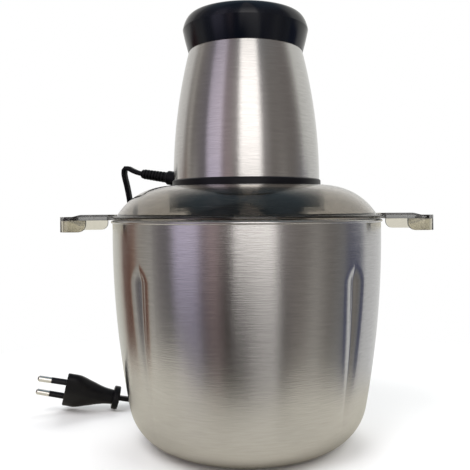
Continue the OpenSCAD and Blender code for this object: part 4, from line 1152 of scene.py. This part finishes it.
WINDOW_BY_HEIGHT = [
    (-1.0, 0.5), (-0.55, 0.46), (-0.42, 0.24), (-0.27, 0.44), (-0.07, 0.88), (0.03, 1.4), (0.16, 2.0),
    (0.60, 2.0), (0.85, 0.5),
]


def make_world():
    """White to the camera; to the object, bands of light round it, a window in front and a ceiling."""
    world = bpy.data.worlds.new("studio")
    bpy.context.scene.world = world
    graph = Graph(world)
    graph.nodes.clear()
    coords = graph.add("ShaderNodeTexCoord")
    x, y, z = graph.add("ShaderNodeSeparateXYZ", coords.outputs["Generated"]).outputs
    azimuth = graph.math("ARCTAN2", x, graph.math("MULTIPLY", y, -1.0))
    share_round = graph.span(azimuth, -math.pi, math.pi)
    share_up = graph.span(z, -1.0, 1.0)

    def round_about(stops):
        return graph.ramp(share_round, stops, -180, 180)

    def by_height(stops):
        return graph.ramp(share_up, stops, -1, 1)

    higher = graph.span(z, *BAND_CHANGE_Z)
    bands = graph.mix("RGBA", higher, round_about(LOW_BANDS), round_about(HIGH_BANDS))
    room = graph.mix("RGBA", graph.span(z, *CEILING_Z), bands, (*CEILING, 1))
    strength = graph.mix("FLOAT", round_about(FRONT_EDGES), 1.0, by_height(FRONT_BY_HEIGHT))
    room_light = graph.add("ShaderNodeBackground", room, strength)
    window_light = graph.add("ShaderNodeBackground", (*WINDOW_COLOR, 1), by_height(WINDOW_BY_HEIGHT))
    wider = graph.span(z, *WINDOW_CHANGE_Z)
    opening = graph.mix("FLOAT", wider, round_about(WINDOW_EDGES_LOW), round_about(WINDOW_EDGES))
    around = graph.add("ShaderNodeMixShader", opening, room_light, window_light)

    path = graph.add("ShaderNodeLightPath")
    through = graph.math("MULTIPLY", path.outputs["Is Transmission Ray"], graph.span(y, *BACKDROP_Y))
    seen = graph.math("MAXIMUM", path.outputs["Is Camera Ray"], through)
    white = graph.add("ShaderNodeBackground", (1, 1, 1, 1))
    graph.add("ShaderNodeOutputWorld", graph.add("ShaderNodeMixShader", seen, around, white))


def make_floor():
    h = FLOOR_HALF
    corners = [(-h, -h, FLOOR_Z), (h, -h, FLOOR_Z), (h, h, FLOOR_Z), (-h, h, FLOOR_Z)]
    mesh = bpy.data.meshes.new("floor")
    mesh.from_pydata(corners, [], [(0, 1, 2, 3)])
    floor = bpy.data.objects.new("floor", mesh)
    bpy.context.scene.collection.objects.link(floor)
    floor.data.materials.append(floor_material())


def floor_material():
    """White to the camera, with the object's shadow; a small grey-beige table top to mirrored rays."""
    material = bpy.data.materials.new("floor")
    graph = Graph(material)
    graph.nodes.clear()
    place = graph.add("ShaderNodeTexCoord").outputs["Object"]
    y = graph.add("ShaderNodeSeparateXYZ", place).outputs["Y"]

    distance = graph.add("ShaderNodeVectorMath", place, operation="LENGTH")
    far = graph.span(distance.outputs["Value"], *FLOOR_FADE)
    matte = graph.add("ShaderNodeBsdfDiffuse", (*FLOOR_COLOR, 1))
    pale = graph.add("ShaderNodeMixShader", far, matte, graph.add("ShaderNodeEmission"))

    front = graph.span(y, TABLE_FRONT + TABLE_FRONT_FADE, TABLE_FRONT - TABLE_FRONT_FADE)
    reach = graph.add("ShaderNodeVectorMath", place, TABLE_AT, operation="DISTANCE")
    side = graph.span(reach.outputs["Value"], TABLE_R - TABLE_SIDE_FADE, TABLE_R + TABLE_SIDE_FADE)
    table = graph.add("ShaderNodeBsdfDiffuse", (*TABLE_COLOR, 1))
    clear = graph.add("ShaderNodeBsdfTransparent")
    mirrored = graph.add("ShaderNodeMixShader", graph.math("MAXIMUM", front, side), table, clear)

    path = graph.add("ShaderNodeLightPath")
    through = graph.math("MULTIPLY", path.outputs["Is Transmission Ray"], graph.span(y, *NEAR_SIDE_Y))
    reflected = graph.math("MAXIMUM", path.outputs["Is Glossy Ray"], through)
    surface = graph.add("ShaderNodeMixShader", reflected, pale, mirrored)
    graph.add("ShaderNodeOutputMaterial", surface)
    return material


LAMP_SIZE = 0.9
LAMP_TARGET = Vector((0, 0, 0.1))
LAMPS = [("key", (-0.5, -0.7, 1.25), 13), ("fill", (0.8, -0.5, 1.0), 7), ("back", (0.1, 0.9, 1.1), 7)]


def make_lamp(name, place, power):
    data = bpy.data.lights.new(name, "AREA")
    data.shape = "DISK"
    data.size = LAMP_SIZE
    data.energy = power
    lamp = bpy.data.objects.new(name, data)
    bpy.context.scene.collection.objects.link(lamp)
    lamp.location = place
    lamp.rotation_euler = (LAMP_TARGET - Vector(place)).to_track_quat("-Z", "Y").to_euler()
    lamp.visible_glossy = False
    lamp.visible_transmission = False


def main():
    make_camera()
    looks = make_looks()
    dress_frame(looks)
    cord, route, length = make_cord(looks)
    plug = make_plug(looks)
    tie = make_tie(looks)
    make_strain_relief(looks)
    make_bowl(looks)
    make_lid(looks)
    make_sleeve(looks)
    make_cap(looks)
    make_button_spring("low", looks)
    make_button_spring("high", looks)
    make_world()
    make_floor()
    for lamp in LAMPS:
        make_lamp(*lamp)
    bpy.context.scene.view_settings.view_transform = "Standard"


main()
